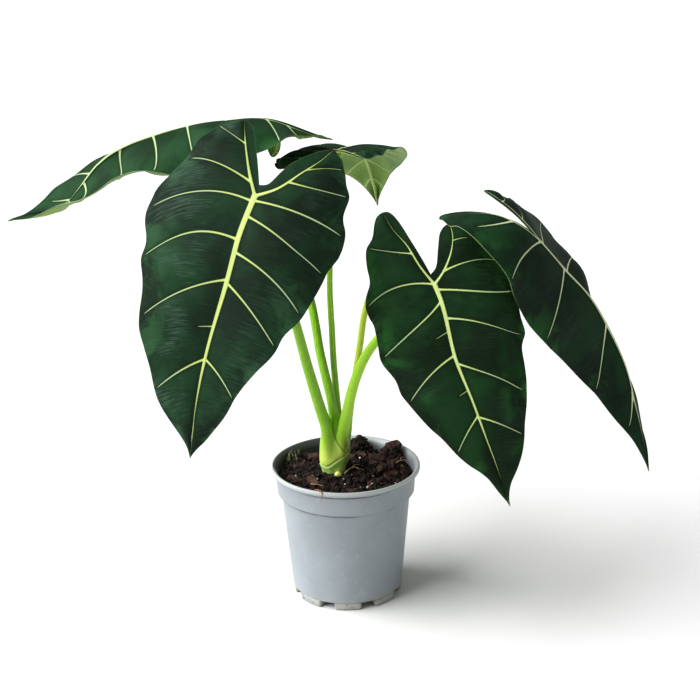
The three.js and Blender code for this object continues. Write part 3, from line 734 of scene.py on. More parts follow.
@dataclass(frozen=True)
class Underside(Finish):
    """Lower side of a blade: matt light green, with raised veins."""

    base: Colour = (0.21, 0.335, 0.07)
    shade: Colour = (0.135, 0.24, 0.055)
    vein: Colour = (0.44, 0.56, 0.20)
    rim: Colour = (0.035, 0.06, 0.025)

    def paint(self, bench: PaintBench) -> None:
        """Lay the light green, its strands, the ribs and the dark outline."""
        strands = bench.streaks(bench.uv("rows"), 14.0, 0.8, 0.4, 0.7)
        bench.lay(self.base)
        bench.lay(self.shade, bench.mottle(30.0, 0.35, 0.65))
        bench.lay(self.shade, strands * 0.35)
        bench.lay(self.vein, bench.measure("vein_edge").step(0.35, -0.15) * 0.85)
        bench.lay(self.rim, bench.measure("rim_edge").step(0.9, 0.3) * 0.6)
        bench.relief(strands, 0.15, 0.5)


@dataclass(frozen=True)
class WaxySkin(Finish):
    """Stalks and stem base: smooth yellow-green skin with lengthwise strands and red-brown flecks, painted
    lighter on the stalks right of the stem as if lit, and with painted shade and stain on the stem base's
    right side.
    """

    roughness: float = 0.36
    specular: float = 0.3
    subsurface: float = 0.12
    subsurface_depth: float = 3.0
    low: Colour = (0.62, 0.71, 0.15)
    high: Colour = (0.17, 0.40, 0.008)
    # Painted light: the lighter green of the stalks right of the stem.
    painted_lit_green: Colour = (0.35, 0.66, 0.03)
    strand: Colour = (0.36, 0.60, 0.04)
    fleck: Colour = (0.14, 0.10, 0.015)
    seam: Colour = (0.10, 0.12, 0.015)
    # Painted shade with darker streaks, for the stem base's right side.
    shade_and_stain: Colour = (0.115, 0.135, 0.02)
    ring: Colour = (0.30, 0.52, 0.13)
    change: tuple[float, float] = (110.0, 143.0)
    flecks: float = 0.12

    def paint(self, bench: PaintBench) -> None:
        """Lay the skin, greener higher up and painted lighter to the right as if lit, with its strands,
        flecks, painted shade on the stem base's right side, and seams.
        """
        across, _, height = (part * (1 / MM) for part in bench.parts(bench.place))
        # Stalks right of the stem get a lighter green, painted as if lit.
        upper = bench.mix(across.step(-6.0, 4.0), self.high, self.painted_lit_green)
        strands = bench.mottle(900.0, 0.4, 0.65, bench.scaled((1.0, 1.0, 0.07)))
        dashes = bench.specks(420.0, 0.28, self.flecks, bench.scaled((1.0, 1.0, 0.35)))
        bench.lay(self.low)
        bench.lay(upper, height.step(*self.change))
        bench.lay(upper, bench.mottle(60.0, 0.35, 0.65) * 0.25)
        bench.lay(self.strand, strands * 0.35)
        bench.lay(self.fleck, dashes * 0.55)
        bench.lay(self.ring, bench.measure("under_fold") * 0.8)
        # Painted shade on the stem base's right side below 145 mm, broken by lengthwise streaks of real
        # darker skin.
        bench.lay(self.shade_and_stain, across.step(-4.5, 1.0) * height.step(145.0, 130.0) * (strands * 0.4 + 0.6))
        bench.lay(self.seam, bench.measure("seam"))
        bench.roughen(self.roughness, strands * 0.1)
        bench.relief(strands, 0.12, 0.5)


@dataclass(frozen=True)
class ScuffedPlastic(Finish):
    """Moulded blue-grey plastic with scuffs, specks and dried dirt, a paler lip that is partly painted
    highlight, and painted shade under the lip, along the step and on the inner wall.
    """

    base: Colour = (0.248, 0.279, 0.302)
    shade: Colour = (0.222, 0.25, 0.27)
    scuff: Colour = (0.31, 0.34, 0.355)
    # Paler lip: partly the plastic's lighter edge, partly painted highlight.
    lip: Colour = (0.42, 0.44, 0.435)
    dirt: Colour = (0.07, 0.055, 0.045)
    # Painted shade for the inner wall at the back left.
    damp: Colour = (0.055, 0.06, 0.057)
    # Painted shade: the dark lines under the lip and along the step.
    crease_shade: Colour = (0.05, 0.053, 0.055)
    silt: Colour = (0.36, 0.35, 0.28)
    lip_foot: float = 106.0
    step_level: float = 88.0
    foot_height: float = 6.0
    wall_lean: float = 1 / 15

    def paint(self, bench: PaintBench) -> None:
        """Lay the plastic, then wear, then a paler lip partly painted as highlight, then dirt where it
        gathers, painted shade lines under the lip and the step, painted shade on the inner wall, specks and
        silt.
        """
        across, back, height = (part * (1 / MM) for part in bench.parts(bench.place))
        flat = bench.scaled((1.0, 1.0, 0.0))
        radius = bench.node("ShaderNodeVectorMath", {0: flat}, "Value", operation="LENGTH") * (1 / MM)
        outside = radius.step(55.3, 55.8)
        rubbed = bench.mottle(130.0, 0.56, 0.70)
        scratches = bench.mottle(260.0, 0.62, 0.68, bench.scaled((1.0, 1.0, 3.0)))
        bench.lay(self.base)
        bench.lay(self.shade, bench.mottle(28.0, 0.35, 0.65))
        bench.lay(self.scuff, rubbed * 0.35)
        bench.lay(self.scuff, scratches * 0.4)
        # The lip and everything above it are paler: partly the plastic's own edge colour, partly painted
        # highlight.
        bench.lay(self.lip, height.step(self.lip_foot + 0.4, self.lip_foot + 2.4) * 0.8)
        bench.lay(self.dirt, self._near(height, self.lip_foot - 0.6, 1.5) * 0.9
                  * (bench.mottle(90.0, 0.47, 0.63) * outside))
        # Painted shadow lines: under the lip at the front only, and below and along the step's edge all
        # round.
        in_front = bench.maths("ABSOLUTE", across).step(42.0, 26.0) * back.step(-10.0, -30.0)
        shadow_under_lip = self._near(height, self.lip_foot - 1.9, 0.8) * outside * in_front
        shadow_under_step = self._near(height, self.step_level - 1.8, 0.9).most(
            self._near(height, self.step_level + 0.4, 0.3))
        bench.lay(self.crease_shade, shadow_under_lip.most(shadow_under_step) * bench.mottle(40.0, 0.3, 0.6) * 0.95)
        # Painted shade: the inner wall and the inner slope of the rim, at the back left, darkened where shade
        # falls.
        on_slope = radius.step(59.3, 58.3) * height.step(106.3, 106.8)
        inside = on_slope.most((height * -self.wall_lean + radius).step(49.0, 48.4))
        bench.lay(self.damp, inside * across.step(-2.0, -12.0) * height.step(90.0, 94.0)
                  * back.step(-18.0, -2.0))
        bench.lay(self.dirt, bench.specks(95.0, 0.10, 0.16).most(bench.specks(310.0, 0.20, 0.02)) * 0.75)
        low = height.step(self.foot_height + 5.0, self.foot_height - 2.0)
        bench.lay(self.silt, low * (bench.mottle(110.0, 0.3, 0.55) * 0.65))
        bench.lay(self.dirt, low * (bench.mottle(240.0, 0.58, 0.66) * 0.5))
        bench.roughen(self.roughness, rubbed * 0.12)
        bench.relief(bench.noise(bench.place, 1500.0, 2) + scratches * -0.8, 0.05, 0.5)

    @staticmethod
    def _near(height: Signal, level: float, reach: float) -> Signal:
        """Mark a band round a level, strongest just below it."""
        return height.step(level - 1.6 * reach, level) * height.step(level + 0.5 * reach, level)


@dataclass(frozen=True)
class Peat(Finish):
    """Damp dark peat, in lumps and crumbs."""

    dark: Colour = (0.0035, 0.0024, 0.0022)
    brown: Colour = (0.013, 0.0072, 0.0054)
    red: Colour = (0.036, 0.0145, 0.0105)

    def paint(self, bench: PaintBench) -> None:
        """Mix dark, brown and a little red crumb."""
        bench.lay(self.dark)
        bench.lay(self.brown, bench.mottle(190.0, 0.4, 0.62))
        bench.lay(self.red, bench.measure("tone").step(0.55, 1.0) * 0.7)
        bench.lay(self.red, bench.mottle(700.0, 0.55, 0.7) * 0.45)
        bench.relief(bench.noise(bench.place, 800.0, 5, 0.7), 0.9, 0.9)


@dataclass(frozen=True)
class Bark(Finish):
    """Chips of reddish bark, grained along each chip."""

    dark: Colour = (0.02, 0.008, 0.006)
    red: Colour = (0.13, 0.046, 0.03)
    pale: Colour = (0.22, 0.115, 0.075)
    soil: Colour = (0.014, 0.008, 0.006)

    def paint(self, bench: PaintBench) -> None:
        """Lay the grain along each chip, which needs its UV map turned by a quarter."""
        turned_grain = bench.node(
            "ShaderNodeMapping", {"Vector": bench.uv("grain"), "Rotation": (0, 0, math.pi / 2)}, "Vector")
        strands = bench.streaks(turned_grain, 22.0, 3.0, 0.4, 0.62)
        bench.lay(self.dark)
        bench.lay(self.red, strands)
        bench.lay(self.pale, bench.measure("tone").step(0.72, 0.95) * 0.5)
        bench.lay(self.soil, bench.mottle(260.0, 0.46, 0.58) * 0.75)
        bench.relief(strands, 0.4, 0.8)


@dataclass(frozen=True)
class Mottled(Finish):
    """One colour with soft patches of another: perlite, roots, moss, a bud, a blade's edge or the floor."""

    base: Colour = (0.8, 0.8, 0.78)
    patch: Colour = (0.35, 0.33, 0.30)
    scale: float = 500.0
    patch_share: float = 0.6
    spread: tuple[float, float] = (0.42, 0.66)
    bump: float = 0.6

    def paint(self, bench: PaintBench) -> None:
        """Lay the colour and its patches."""
        patches = bench.mottle(self.scale, *self.spread)
        bench.lay(self.base)
        bench.lay(self.patch, patches * self.patch_share)
        if self.bump:
            bench.relief(patches, 0.2, self.bump)


@dataclass
class Wardrobe:
    """Every material of the scene, made once."""

    effects: Effects = field(default_factory=Effects)
    made: dict[str, bpy.types.Material] = field(default_factory=dict)

    def wear(self, piece: Piece, *finishes: Finish) -> None:
        """Give a piece its materials, in the order of its slots.

        Args:
            piece: The piece to dress.
            finishes: Its finishes.
        """
        slots = piece.data.materials
        for i, finish in enumerate(finishes):
            if finish.name not in self.made:
                self.made[finish.name] = finish.material(self.effects)
            if i == len(slots):
                slots.append(None)
            slots[i] = self.made[finish.name]


# Leaves


class Rim(Enum):
    """Rims of half a blade, from the notch round the lobe to the tip: midrib lengths, half widths."""

    COMMON = (
        (-0.045, 0), (-0.12, 0.07), (-0.2, 0.16), (-0.28, 0.28), (-0.32, 0.4), (-0.29, 0.56), (-0.2, 0.7),
        (-0.08, 0.82), (0.04, 0.9), (0.16, 0.93), (0.28, 0.9), (0.4, 0.79), (0.54, 0.645), (0.68, 0.455),
        (0.8, 0.27), (0.89, 0.12), (0.95, 0.04), (1, 0))
    BROAD_LOBE = (
        (-0.045, 0), (-0.12, 0.09), (-0.2, 0.2), (-0.27, 0.31), (-0.297, 0.43), (-0.27, 0.58), (-0.2, 0.69),
        (-0.08, 0.77), (0, 0.845), (0.09, 0.9), (0.16, 0.93), (0.24, 0.865), (0.34, 0.86), (0.42, 0.78),
        (0.54, 0.69), (0.7, 0.485), (0.79, 0.36), (0.87, 0.2), (0.95, 0.05), (1, 0))
    POINTED_LOBE = (
        (-0.045, 0), (-0.06, 0.08), (-0.13, 0.135), (-0.21, 0.215), (-0.29, 0.325), (-0.32, 0.4),
        (-0.24, 0.6), (-0.17, 0.7), (-0.12, 0.79), (-0.03, 0.835), (0.035, 0.9), (0.17, 0.895), (0.26, 0.83),
        (0.37, 0.725), (0.43, 0.65), (0.5, 0.615), (0.6, 0.51), (0.72, 0.37), (0.855, 0.19), (0.95, 0.05),
        (1, 0))
    NARROW_LOBE = (
        (-0.045, 0), (-0.11, 0.03), (-0.205, 0.08), (-0.31, 0.14), (-0.36, 0.22), (-0.355, 0.37),
        (-0.29, 0.49), (-0.24, 0.63), (-0.17, 0.71), (-0.1, 0.76), (-0.045, 0.865), (0.01, 0.92), (0.1, 0.9),
        (0.2, 0.885), (0.26, 0.865), (0.33, 0.755), (0.4, 0.74), (0.54, 0.62), (0.68, 0.435), (0.78, 0.26),
        (0.9, 0.1), (0.96, 0.03), (1, 0))
    SHORT_LOBE = (
        (-0.045, 0), (-0.07, 0.1), (-0.14, 0.205), (-0.21, 0.32), (-0.24, 0.46), (-0.22, 0.62),
        (-0.12, 0.8), (0, 0.92), (0.14, 0.96), (0.21, 0.95), (0.31, 0.965), (0.39, 0.87), (0.47, 0.78),
        (0.54, 0.69), (0.635, 0.555), (0.745, 0.395), (0.84, 0.21), (0.905, 0.065), (0.96, 0.02), (1, 0))


@dataclass(frozen=True)
class Vein:
    """A lateral vein: where it leaves the rib and meets the rim, and its course between.

    The start counts -1 at the lobe's tip, 0 at the junction and 1 at the leaf's tip. The end is a place
    on the rim, in midrib lengths. The bow is how far it swings towards the tip, the spread how far out.
    """

    start: float
    end: float
    bow: float = 0.03
    spread: float = 0.54
    strength: float = 1.0
    fade: float = 0.95


GENERIC_VEINS = (
    Vein(-0.68, -0.25), Vein(-0.33, -0.12), Vein(0.02, 0.09), Vein(0.16, 0.28), Vein(0.33, 0.47),
    Vein(0.47, 0.59, strength=0.5, fade=0.5), Vein(0.62, 0.73), Vein(0.8, 0.87, bow=0.01, strength=0.6))


@dataclass(frozen=True)
class HalfForm:
    """One half of a blade: its rim, the bend of its lobe, its slopes, basal vein and laterals.

    The slopes are rows of place on the midrib, degrees at the rib and degrees at the rim. The ripple is
    how far the rim swings out, in millimetres, by place on the midrib.
    """

    rim: Rim
    slopes: list[list[float]]
    reach: float = 1.0
    bend: float = -40.0
    turn: float = 0.0
    basal: Marks = ()
    veins: tuple[Vein, ...] = GENERIC_VEINS
    ripple: Marks = ()


@dataclass(frozen=True)
class LeafForm:
    """A leaf: its midrib from junction to tip, where its upper side faces, its halves and its stalk."""

    midrib: list[Place]
    facing: Place
    half_width: float
    left: HalfForm
    right: HalfForm
    stalk: list[Place]
    stalk_base: float
    stalk_top: float
    rib_width: float = 1.0
    lateral_width: float = 1.0
    quilting: float = 2.0
    velvet: VelvetBlade = VelvetBlade("leaf_velvet")
    skin: WaxySkin = WaxySkin("waxy_skin")


class HalfSurface:
    """Lines of one half of a blade in flat places: along in midrib lengths, across in half widths."""

    COMMON_BASAL = np.array([(0.3, 0.24), (0.6, 0.52), (0.82, 0.76)])
    END_SPREAD = 0.54
    MAIN_STRENGTH = 0.55
    WIDE_GAP = 0.16

    def __init__(self, form: HalfForm, size: np.ndarray) -> None:
        """Work out the rim, the notch, the basal vein and the guides that rows follow.

        Args:
            form: The half's form.
            size: Midrib length and half width in millimetres.
        """
        self.form, self.size = form, size
        whole = drawn(form.rim.value, 12, run_on=False)
        tip = int(np.argmin(whole[:, 0]))
        rim = whole[tip:].copy()
        if form.ripple:
            rim[:, 1] += eased([(-0.3, 0), *form.ripple, (1, 0)], rim[:, 0], 1) / size[1]
        self.rim, self.notch = Line(rim, size), Line(whole[:tip + 1][::-1], size)
        between = form.basal or self.COMMON_BASAL * whole[tip]
        self.basal = Line(drawn(np.vstack([(0, 0), *between, whole[tip]]), 16, run_on=False), size)
        self.veins = sorted(form.veins, key=lambda vein: vein.start)
        self.starts = self._guide(-1, "start", 1)
        ends = np.interp(self._guide(0, "end", 0)[1:-1], rim[:, 0], self.rim.reach)
        self.ends = np.array([0, *ends, self.rim.length])
        self.bows = self._guide(0, "bow", 0)
        self.spreads = self._guide(self.END_SPREAD, "spread", self.END_SPREAD)

    def _guide(self, first: float, name: str, last: float) -> np.ndarray:
        """List one number of each vein, between two end values."""
        return np.array([first, *(getattr(vein, name) for vein in self.veins), last])

    def on_rib(self, rows: np.ndarray) -> np.ndarray:
        """Find flat places on the rib: the basal vein behind the junction, the midrib ahead of it.

        Args:
            rows: Row numbers from -1 to 1.

        Returns:
            One flat place for each row.
        """
        behind = self.basal.at(np.maximum(-rows, 0) * self.basal.length)
        ahead = np.stack([np.maximum(rows, 0), np.zeros(len(rows))], axis=-1)
        return np.where((rows < 0)[:, None], behind, ahead)

    def lay(self, rows: np.ndarray, shares: np.ndarray, inner: bool = False) -> np.ndarray:
        """Find flat places on rows that run from the rib to the rim, or from the basal vein to the notch.

        Args:
            rows: Row numbers, one for each row.
            shares: For each row, shares of the way.
            inner: Whether they run to the notch.

        Returns:
            Flat places, indexed by row, share and axis.
        """
        start = self.on_rib(rows)[:, None]
        if inner:
            end = self.notch.at((1 + rows) * self.notch.length)[:, None]
            return start + (end - start) * shares[..., None]
        end = self.rim.at(np.interp(rows, self.starts, self.ends))[:, None]
        bow = np.interp(rows, self.starts, self.bows)
        spread = np.interp(rows, self.starts, self.spreads)
        lean = np.stack([bow, (end - start)[:, 0, 1] * spread], axis=-1)[:, None]
        t = shares[..., None]
        return start * (1 - t) ** 2 + 2 * (start + lean) * t * (1 - t) + end * t**2

    def between_veins(self, rows: np.ndarray) -> np.ndarray:
        """Measure how far rows lie from the main laterals: 0 on one, 1 midway in a wide gap."""
        main = np.array([-1, *(v.start for v in self.veins if v.strength > self.MAIN_STRENGTH), 1])
        i = np.clip(np.searchsorted(main, rows, side="right"), 1, len(main) - 1)
        gap = main[i] - main[i - 1]
        return np.sin(np.pi * (rows - main[i - 1]) / gap) ** 0.8 * np.minimum(gap / self.WIDE_GAP, 1)


class LeafSurface:
    """One leaf's middle surface, from flat places to space."""

    NOTCH = 0.045
    LOBE_LENGTH = 0.27
    NORMAL_STEP = 0.006

    def __init__(self, form: LeafForm) -> None:
        """Measure the midrib and prepare both halves."""
        self.form = form
        self.line = Line(drawn(form.midrib, 80))
        self.length = self.line.length
        self.tangents = unit(np.gradient(self.line.points, self.line.reach, axis=0))
        size = np.array([self.length, form.half_width])
        self.halves = {Side.LEFT: HalfSurface(form.left, size), Side.RIGHT: HalfSurface(form.right, size)}

    def frame(self, distance: np.ndarray) -> tuple[np.ndarray, np.ndarray, np.ndarray, np.ndarray]:
        """Find points and directions on the midrib.

        Args:
            distance: Distances from the junction in millimetres.

        Returns:
            Points, and unit directions ahead, up and to the leaf's right.
        """
        ahead = unit(self.line.at(distance, self.tangents))
        facing = np.array(self.form.facing, float)
        up = unit(facing - (ahead @ facing)[..., None] * ahead)
        return self.line.at(distance), ahead, up, np.cross(ahead, up)

    def place(self, flat: np.ndarray, side: Side) -> np.ndarray:
        """Carry flat places into space.

        Args:
            flat: Flat places, the last axis along and across.
            side: The half that they lie on.

        Returns:
            Places in millimetres.
        """
        half = self.halves[side].form
        along, across = flat[..., 0], flat[..., 1]
        point, ahead, up, right = self.frame(np.maximum(along, 0) * self.length)
        behind = np.maximum(-along, 0) * self.length
        straight = np.minimum(behind, self.NOTCH * self.length)
        curved = (behind - straight) * half.reach
        curvature = math.radians(half.bend) / (self.LOBE_LENGTH * self.length)
        angle = curvature * curved
        point = point - ahead * (straight + np.sin(angle) / curvature)[..., None]
        point = point + up * ((1 - np.cos(angle)) / curvature)[..., None]
        tilted = up * np.cos(angle)[..., None] + ahead * np.sin(angle)[..., None]
        width = across * self.form.half_width + half.turn * curved
        at_rib, at_rim = (np.radians(eased(half.slopes, along, column)) for column in (1, 2))
        rolling = (at_rim - at_rib) / self.form.half_width
        rolling = np.where(np.abs(rolling) < 1e-6, 1e-6, rolling)
        sideways = (np.sin(at_rib + rolling * width) - np.sin(at_rib)) / rolling
        rise = -(np.cos(at_rib + rolling * width) - np.cos(at_rib)) / rolling
        return point + right * (side.value * sideways)[..., None] + tilted * rise[..., None]

    def normal(self, flat: np.ndarray, side: Side) -> np.ndarray:
        """Find the upper side's direction, which is the midrib's own near the rib.

        Args:
            flat: Flat places.
            side: The half that they lie on.

        Returns:
            Unit directions.
        """
        ahead, outwards = (self.place(flat + step, side) - self.place(flat - step, side)
                           for step in np.eye(2) * self.NORMAL_STEP)
        slope = unit(np.cross(outwards, ahead) * side.value)
        up = self.frame(np.maximum(flat[..., 0], 0) * self.length)[2]
        at_rib = np.clip(flat[..., 1:] * self.form.half_width / 2.0, 0, 1)
        return unit(up * (1 - at_rib) + slope * at_rib)


@dataclass
class Blade:
    """One leaf blade: a thin shell with raised veins, laid out in panels and given its thickness."""

    name: str
    form: LeafForm
    thickness: float = 0.8
    edge_thickness: float = 0.45
    edge_width: float = 4.0
    rib_relief: tuple[float, float] = (0.7, 1.5)
    basal_relief: tuple[float, float] = (0.45, 0.9)
    lateral_relief: tuple[float, float] = (0.35, 0.5)
    margin_wave: float = 1.4
    waves: float = 17.0
    columns: int = 34
    inner_columns: int = 9
    row_step: float = 0.018
    least_step: float = 0.0012
    cluster: tuple[float, ...] = (-1.9, -1.2, -0.75, -0.35, 0.0, 0.35, 0.75, 1.2, 1.9)
    beside_rib: tuple[float, ...] = (0, 0.5, 1.0, 1.6, 2.4, 3.4)

    def build(self) -> list[Piece]:
        """Make the blade, with slots for its upper side, underside and edge.

        Returns:
            The finished shell, with UV map "rows" and the measures that its materials read.
        """
        self.surface = LeafSurface(self.form)
        ahead = self._rows(0, 1, *Side)
        panels = []
        for side in Side:
            behind = self._rows(-1, 0, side)
            panels.append(self._panel(side, np.concatenate([behind, ahead[1:]]), inner=False))
            panels.append(self._panel(side, behind, inner=True))
        piece = join(panels, self.name)
        with editing(piece):
            bpy.ops.mesh.remove_doubles(threshold=0.02 * MM)
        for _ in range(3):
            piece.data.materials.append(None)
        apply_modifier(
            piece, "SOLIDIFY", thickness=self._full_thickness() * MM, offset=0, vertex_group="thickness",
            thickness_vertex_group=0, material_offset=1, material_offset_rim=2, use_rim=True)
        return [smooth(piece, 60)]

    def dress(self, pieces: list[Piece], wardrobe: Wardrobe) -> None:
        """Give the blade its upper side, underside and edge."""
        wardrobe.wear(
            pieces[0], self.form.velvet, Underside("leaf_underside", roughness=0.55, specular=0.35),
            Mottled("leaf_edge", base=(0.16, 0.22, 0.08), patch=(0.05, 0.09, 0.03), scale=40.0,
                    patch_share=1.0, spread=(0.4, 0.6), bump=0.0))

    def _full_thickness(self) -> float:
        """Thickness where the midrib is at its strongest."""
        return self.thickness + sum(self.rib_relief)

    def _rows(self, first: float, last: float, *sides: Side) -> np.ndarray:
        """Spread rows between two ends, closer together beside each lateral.

        Args:
            first: The first row.
            last: The last row.
            sides: The halves whose laterals count.

        Returns:
            Row numbers in order.
        """
        fixed = [first, last]
        for half in (self.surface.halves[side] for side in sides):
            for start in (vein.start for vein in half.veins if first <= vein.start <= last):
                rib = half.basal.length if start < 0 else self.surface.length
                fixed += [start + step / rib for step in self.cluster]
        rows = sorted({round(row, 5) for row in fixed if first <= row <= last})
        kept = [rows[0]]
        for row in rows[1:]:
            gap = row - kept[-1]
            if gap < self.least_step and row != rows[-1]:
                continue
            fills = max(int(math.ceil(gap / self.row_step)) - 1, 0)
            kept += [kept[-1] + gap * (i + 1) / (fills + 1) for i in range(fills)]
            kept.append(row)
        return np.array(kept)

    def _shares(self, lengths: np.ndarray, columns: int) -> np.ndarray:
        """Spread places along rows, closer together beside the rib.

        Args:
            lengths: Each row's length in millimetres.
            columns: Cells from end to end.

        Returns:
            Shares of the way, indexed by row and column.
        """
        near = np.array(self.beside_rib)[:max(2, min(6, columns // 3))]
        count = len(near)
        shares = np.tile(np.arange(columns + 1) / columns, (len(lengths), 1))
        shares[:, :count] = np.minimum(near / np.maximum(lengths[:, None], 1e-6), shares[:, :count])
        last = shares[:, count - 1:count]
        shares[:, count - 1:] = last + (1 - last) * np.linspace(0, 1, columns + 2 - count)
        return shares

    def _panel(self, side: Side, rows: np.ndarray, inner: bool) -> Piece:
        """Make one panel from a plain grid: rows run from a rib to the rim, or to the notch.

        Args:
            side: The half that it belongs to.
            rows: Row numbers.
            inner: Whether it lies between the basal vein and the notch.

        Returns:
            The panel, facing up, without thickness.
        """
        half = self.surface.halves[side]
        columns = self.inner_columns if inner else self.columns
        ends = half.lay(rows, np.tile([0.0, 1.0], (len(rows), 1)), inner) * half.size
        lengths = np.linalg.norm(ends[:, 1] - ends[:, 0], axis=-1)
        shares = self._shares(lengths, columns)
        flat = half.lay(rows, shares, inner)
        panel, column, row = grid("panel", columns, len(rows) - 1)
        vein_edge, top, under = self._veins_at(flat, half)
        outline = Line(np.vstack([half.notch.points[::-1], half.rim.points[1:]])[::2] * half.size)
        rim_edge = outline.nearest(flat.reshape(-1, 2) * half.size)[0].reshape(shares.shape)
        swell = self.form.quilting * half.between_veins(rows)[:, None]
        swell = swell * np.sin(np.pi * np.minimum(shares * 1.1, 1)) ** 0.8
        fall = shares**3 * (1 - np.abs(rows[:, None]) ** 4)
        lift = 0.0 if inner else swell + self.margin_wave * np.cos(rows[:, None] * self.waves) * fall
        normal = self.surface.normal(flat, side)
        place = self.surface.place(flat, side) + normal * (lift + (top - under) / 2)[..., None]
        write_places(panel, place[row, column] * MM)
        write_measure(panel, "vein_edge", vein_edge[row, column])
        write_measure(panel, "rim_edge", rim_edge[row, column])
        write_measure(panel, "out_share", (np.clip(shares, 0, 1) * (0.0 if inner else 1.0))[row, column])
        rib_at = np.where(rows < 0, rows * half.basal.length, rows * self.surface.length)
        rim_at = np.interp(rows, half.starts, half.ends) - np.interp(0, half.starts, half.ends)
        strand = rib_at[:, None] * (1 - shares) + (rib_at if inner else rim_at)[:, None] * shares
        uv = np.stack([strand + side.value * 400, shares * lengths[:, None]], axis=-1) / 10
        write_uv(panel, "rows", uv[row, column])
        thin = step_between(rim_edge, 0.0, self.edge_width)
        thickness = self.edge_thickness + (self.thickness - self.edge_thickness) * thin + top + under
        group = panel.vertex_groups.new(name="thickness")
        for i, weight in enumerate(thickness[row, column] / self._full_thickness()):
            group.add([i], float(weight), "REPLACE")
        middle = len(rows) // 2, columns // 2
        faces = panel.data.polygons
        centres = np.array([face.center[:] for face in faces]) / MM
        near = int(np.argmin(np.linalg.norm(centres - place[middle], axis=1)))
        if np.array(faces[near].normal) @ self.surface.normal(flat[middle][None], side)[0] < 0:
            with editing(panel):
                bpy.ops.mesh.flip_normals()
        return panel

    def _vein_lines(self, half: HalfSurface) -> Iterator[tuple[Line, np.ndarray, float, float]]:
        """List the veins of a half.

        Args:
            half: The half's lines.

        Yields:
            A vein's line in flat millimetres, its half width at each point, and its relief on both sides.
        """
        scale = self.form.rib_width
        along = np.linspace(0, 1, 120)
        rib_half = np.interp(along, [0, 0.03, 0.3, 0.6, 0.8, 1], [2.5, 2.35, 2.0, 1.4, 0.95, 0.3]) * scale
        midrib = np.stack([along * self.surface.length, np.zeros(120)], axis=-1)
        yield Line(midrib), rib_half, *self.rib_relief
        share = half.basal.reach / half.basal.length
        basal_half = np.interp(share, [0, 0.5, 0.85, 1], [1.35, 0.8, 0.35, 0.05]) * max(scale, 0.7)
        yield Line(half.basal.points * half.size), basal_half, *self.basal_relief
        fall = np.linspace(0, 1, 50)
        lateral_half = np.interp(fall, [0, 0.08, 0.6, 0.92, 1], [1.15, 0.82, 0.62, 0.4, 0.04])
        for vein in half.form.veins:
            course = half.lay(np.array([vein.start]), (fall * vein.fade)[None])[0] * half.size
            relief = (depth * vein.strength for depth in self.lateral_relief)
            yield Line(course), lateral_half * vein.strength * self.form.lateral_width, *relief

    def _veins_at(self, flat: np.ndarray, half: HalfSurface) -> np.ndarray:
        """Measure flat places against the veins.

        Args:
            flat: Flat places by row and column.
            half: The half's lines.

        Returns:
            Distance from the nearest vein's edge, below 0 on it, and the relief above and below.
        """
        spots = flat.reshape(-1, 2) * half.size
        edge, top, under = found = np.zeros((3, len(spots)))
        edge += 99.0
        for line, width, top_relief, under_relief in self._vein_lines(half):
            low, high = line.points.min(0) - 6, line.points.max(0) + 6
            near = np.nonzero(((spots > low) & (spots < high)).all(-1))[0]
            distance, at, _ = line.nearest(spots[near])
            there = np.interp(at, np.arange(len(width)), width)
            size = np.minimum(there / 0.6, 1)
            edge[near] = np.minimum(edge[near], distance - there)
            for side, relief, foot in ((top, top_relief, there * 1.25 + 0.12),
                                       (under, under_relief, there * 1.5 + 0.2)):
                crown = np.clip(1 - (distance / foot) ** 2, 0, 1) * size
                side[near] = np.maximum(side[near], relief * crown)
        return found.reshape(3, *flat.shape[:2])


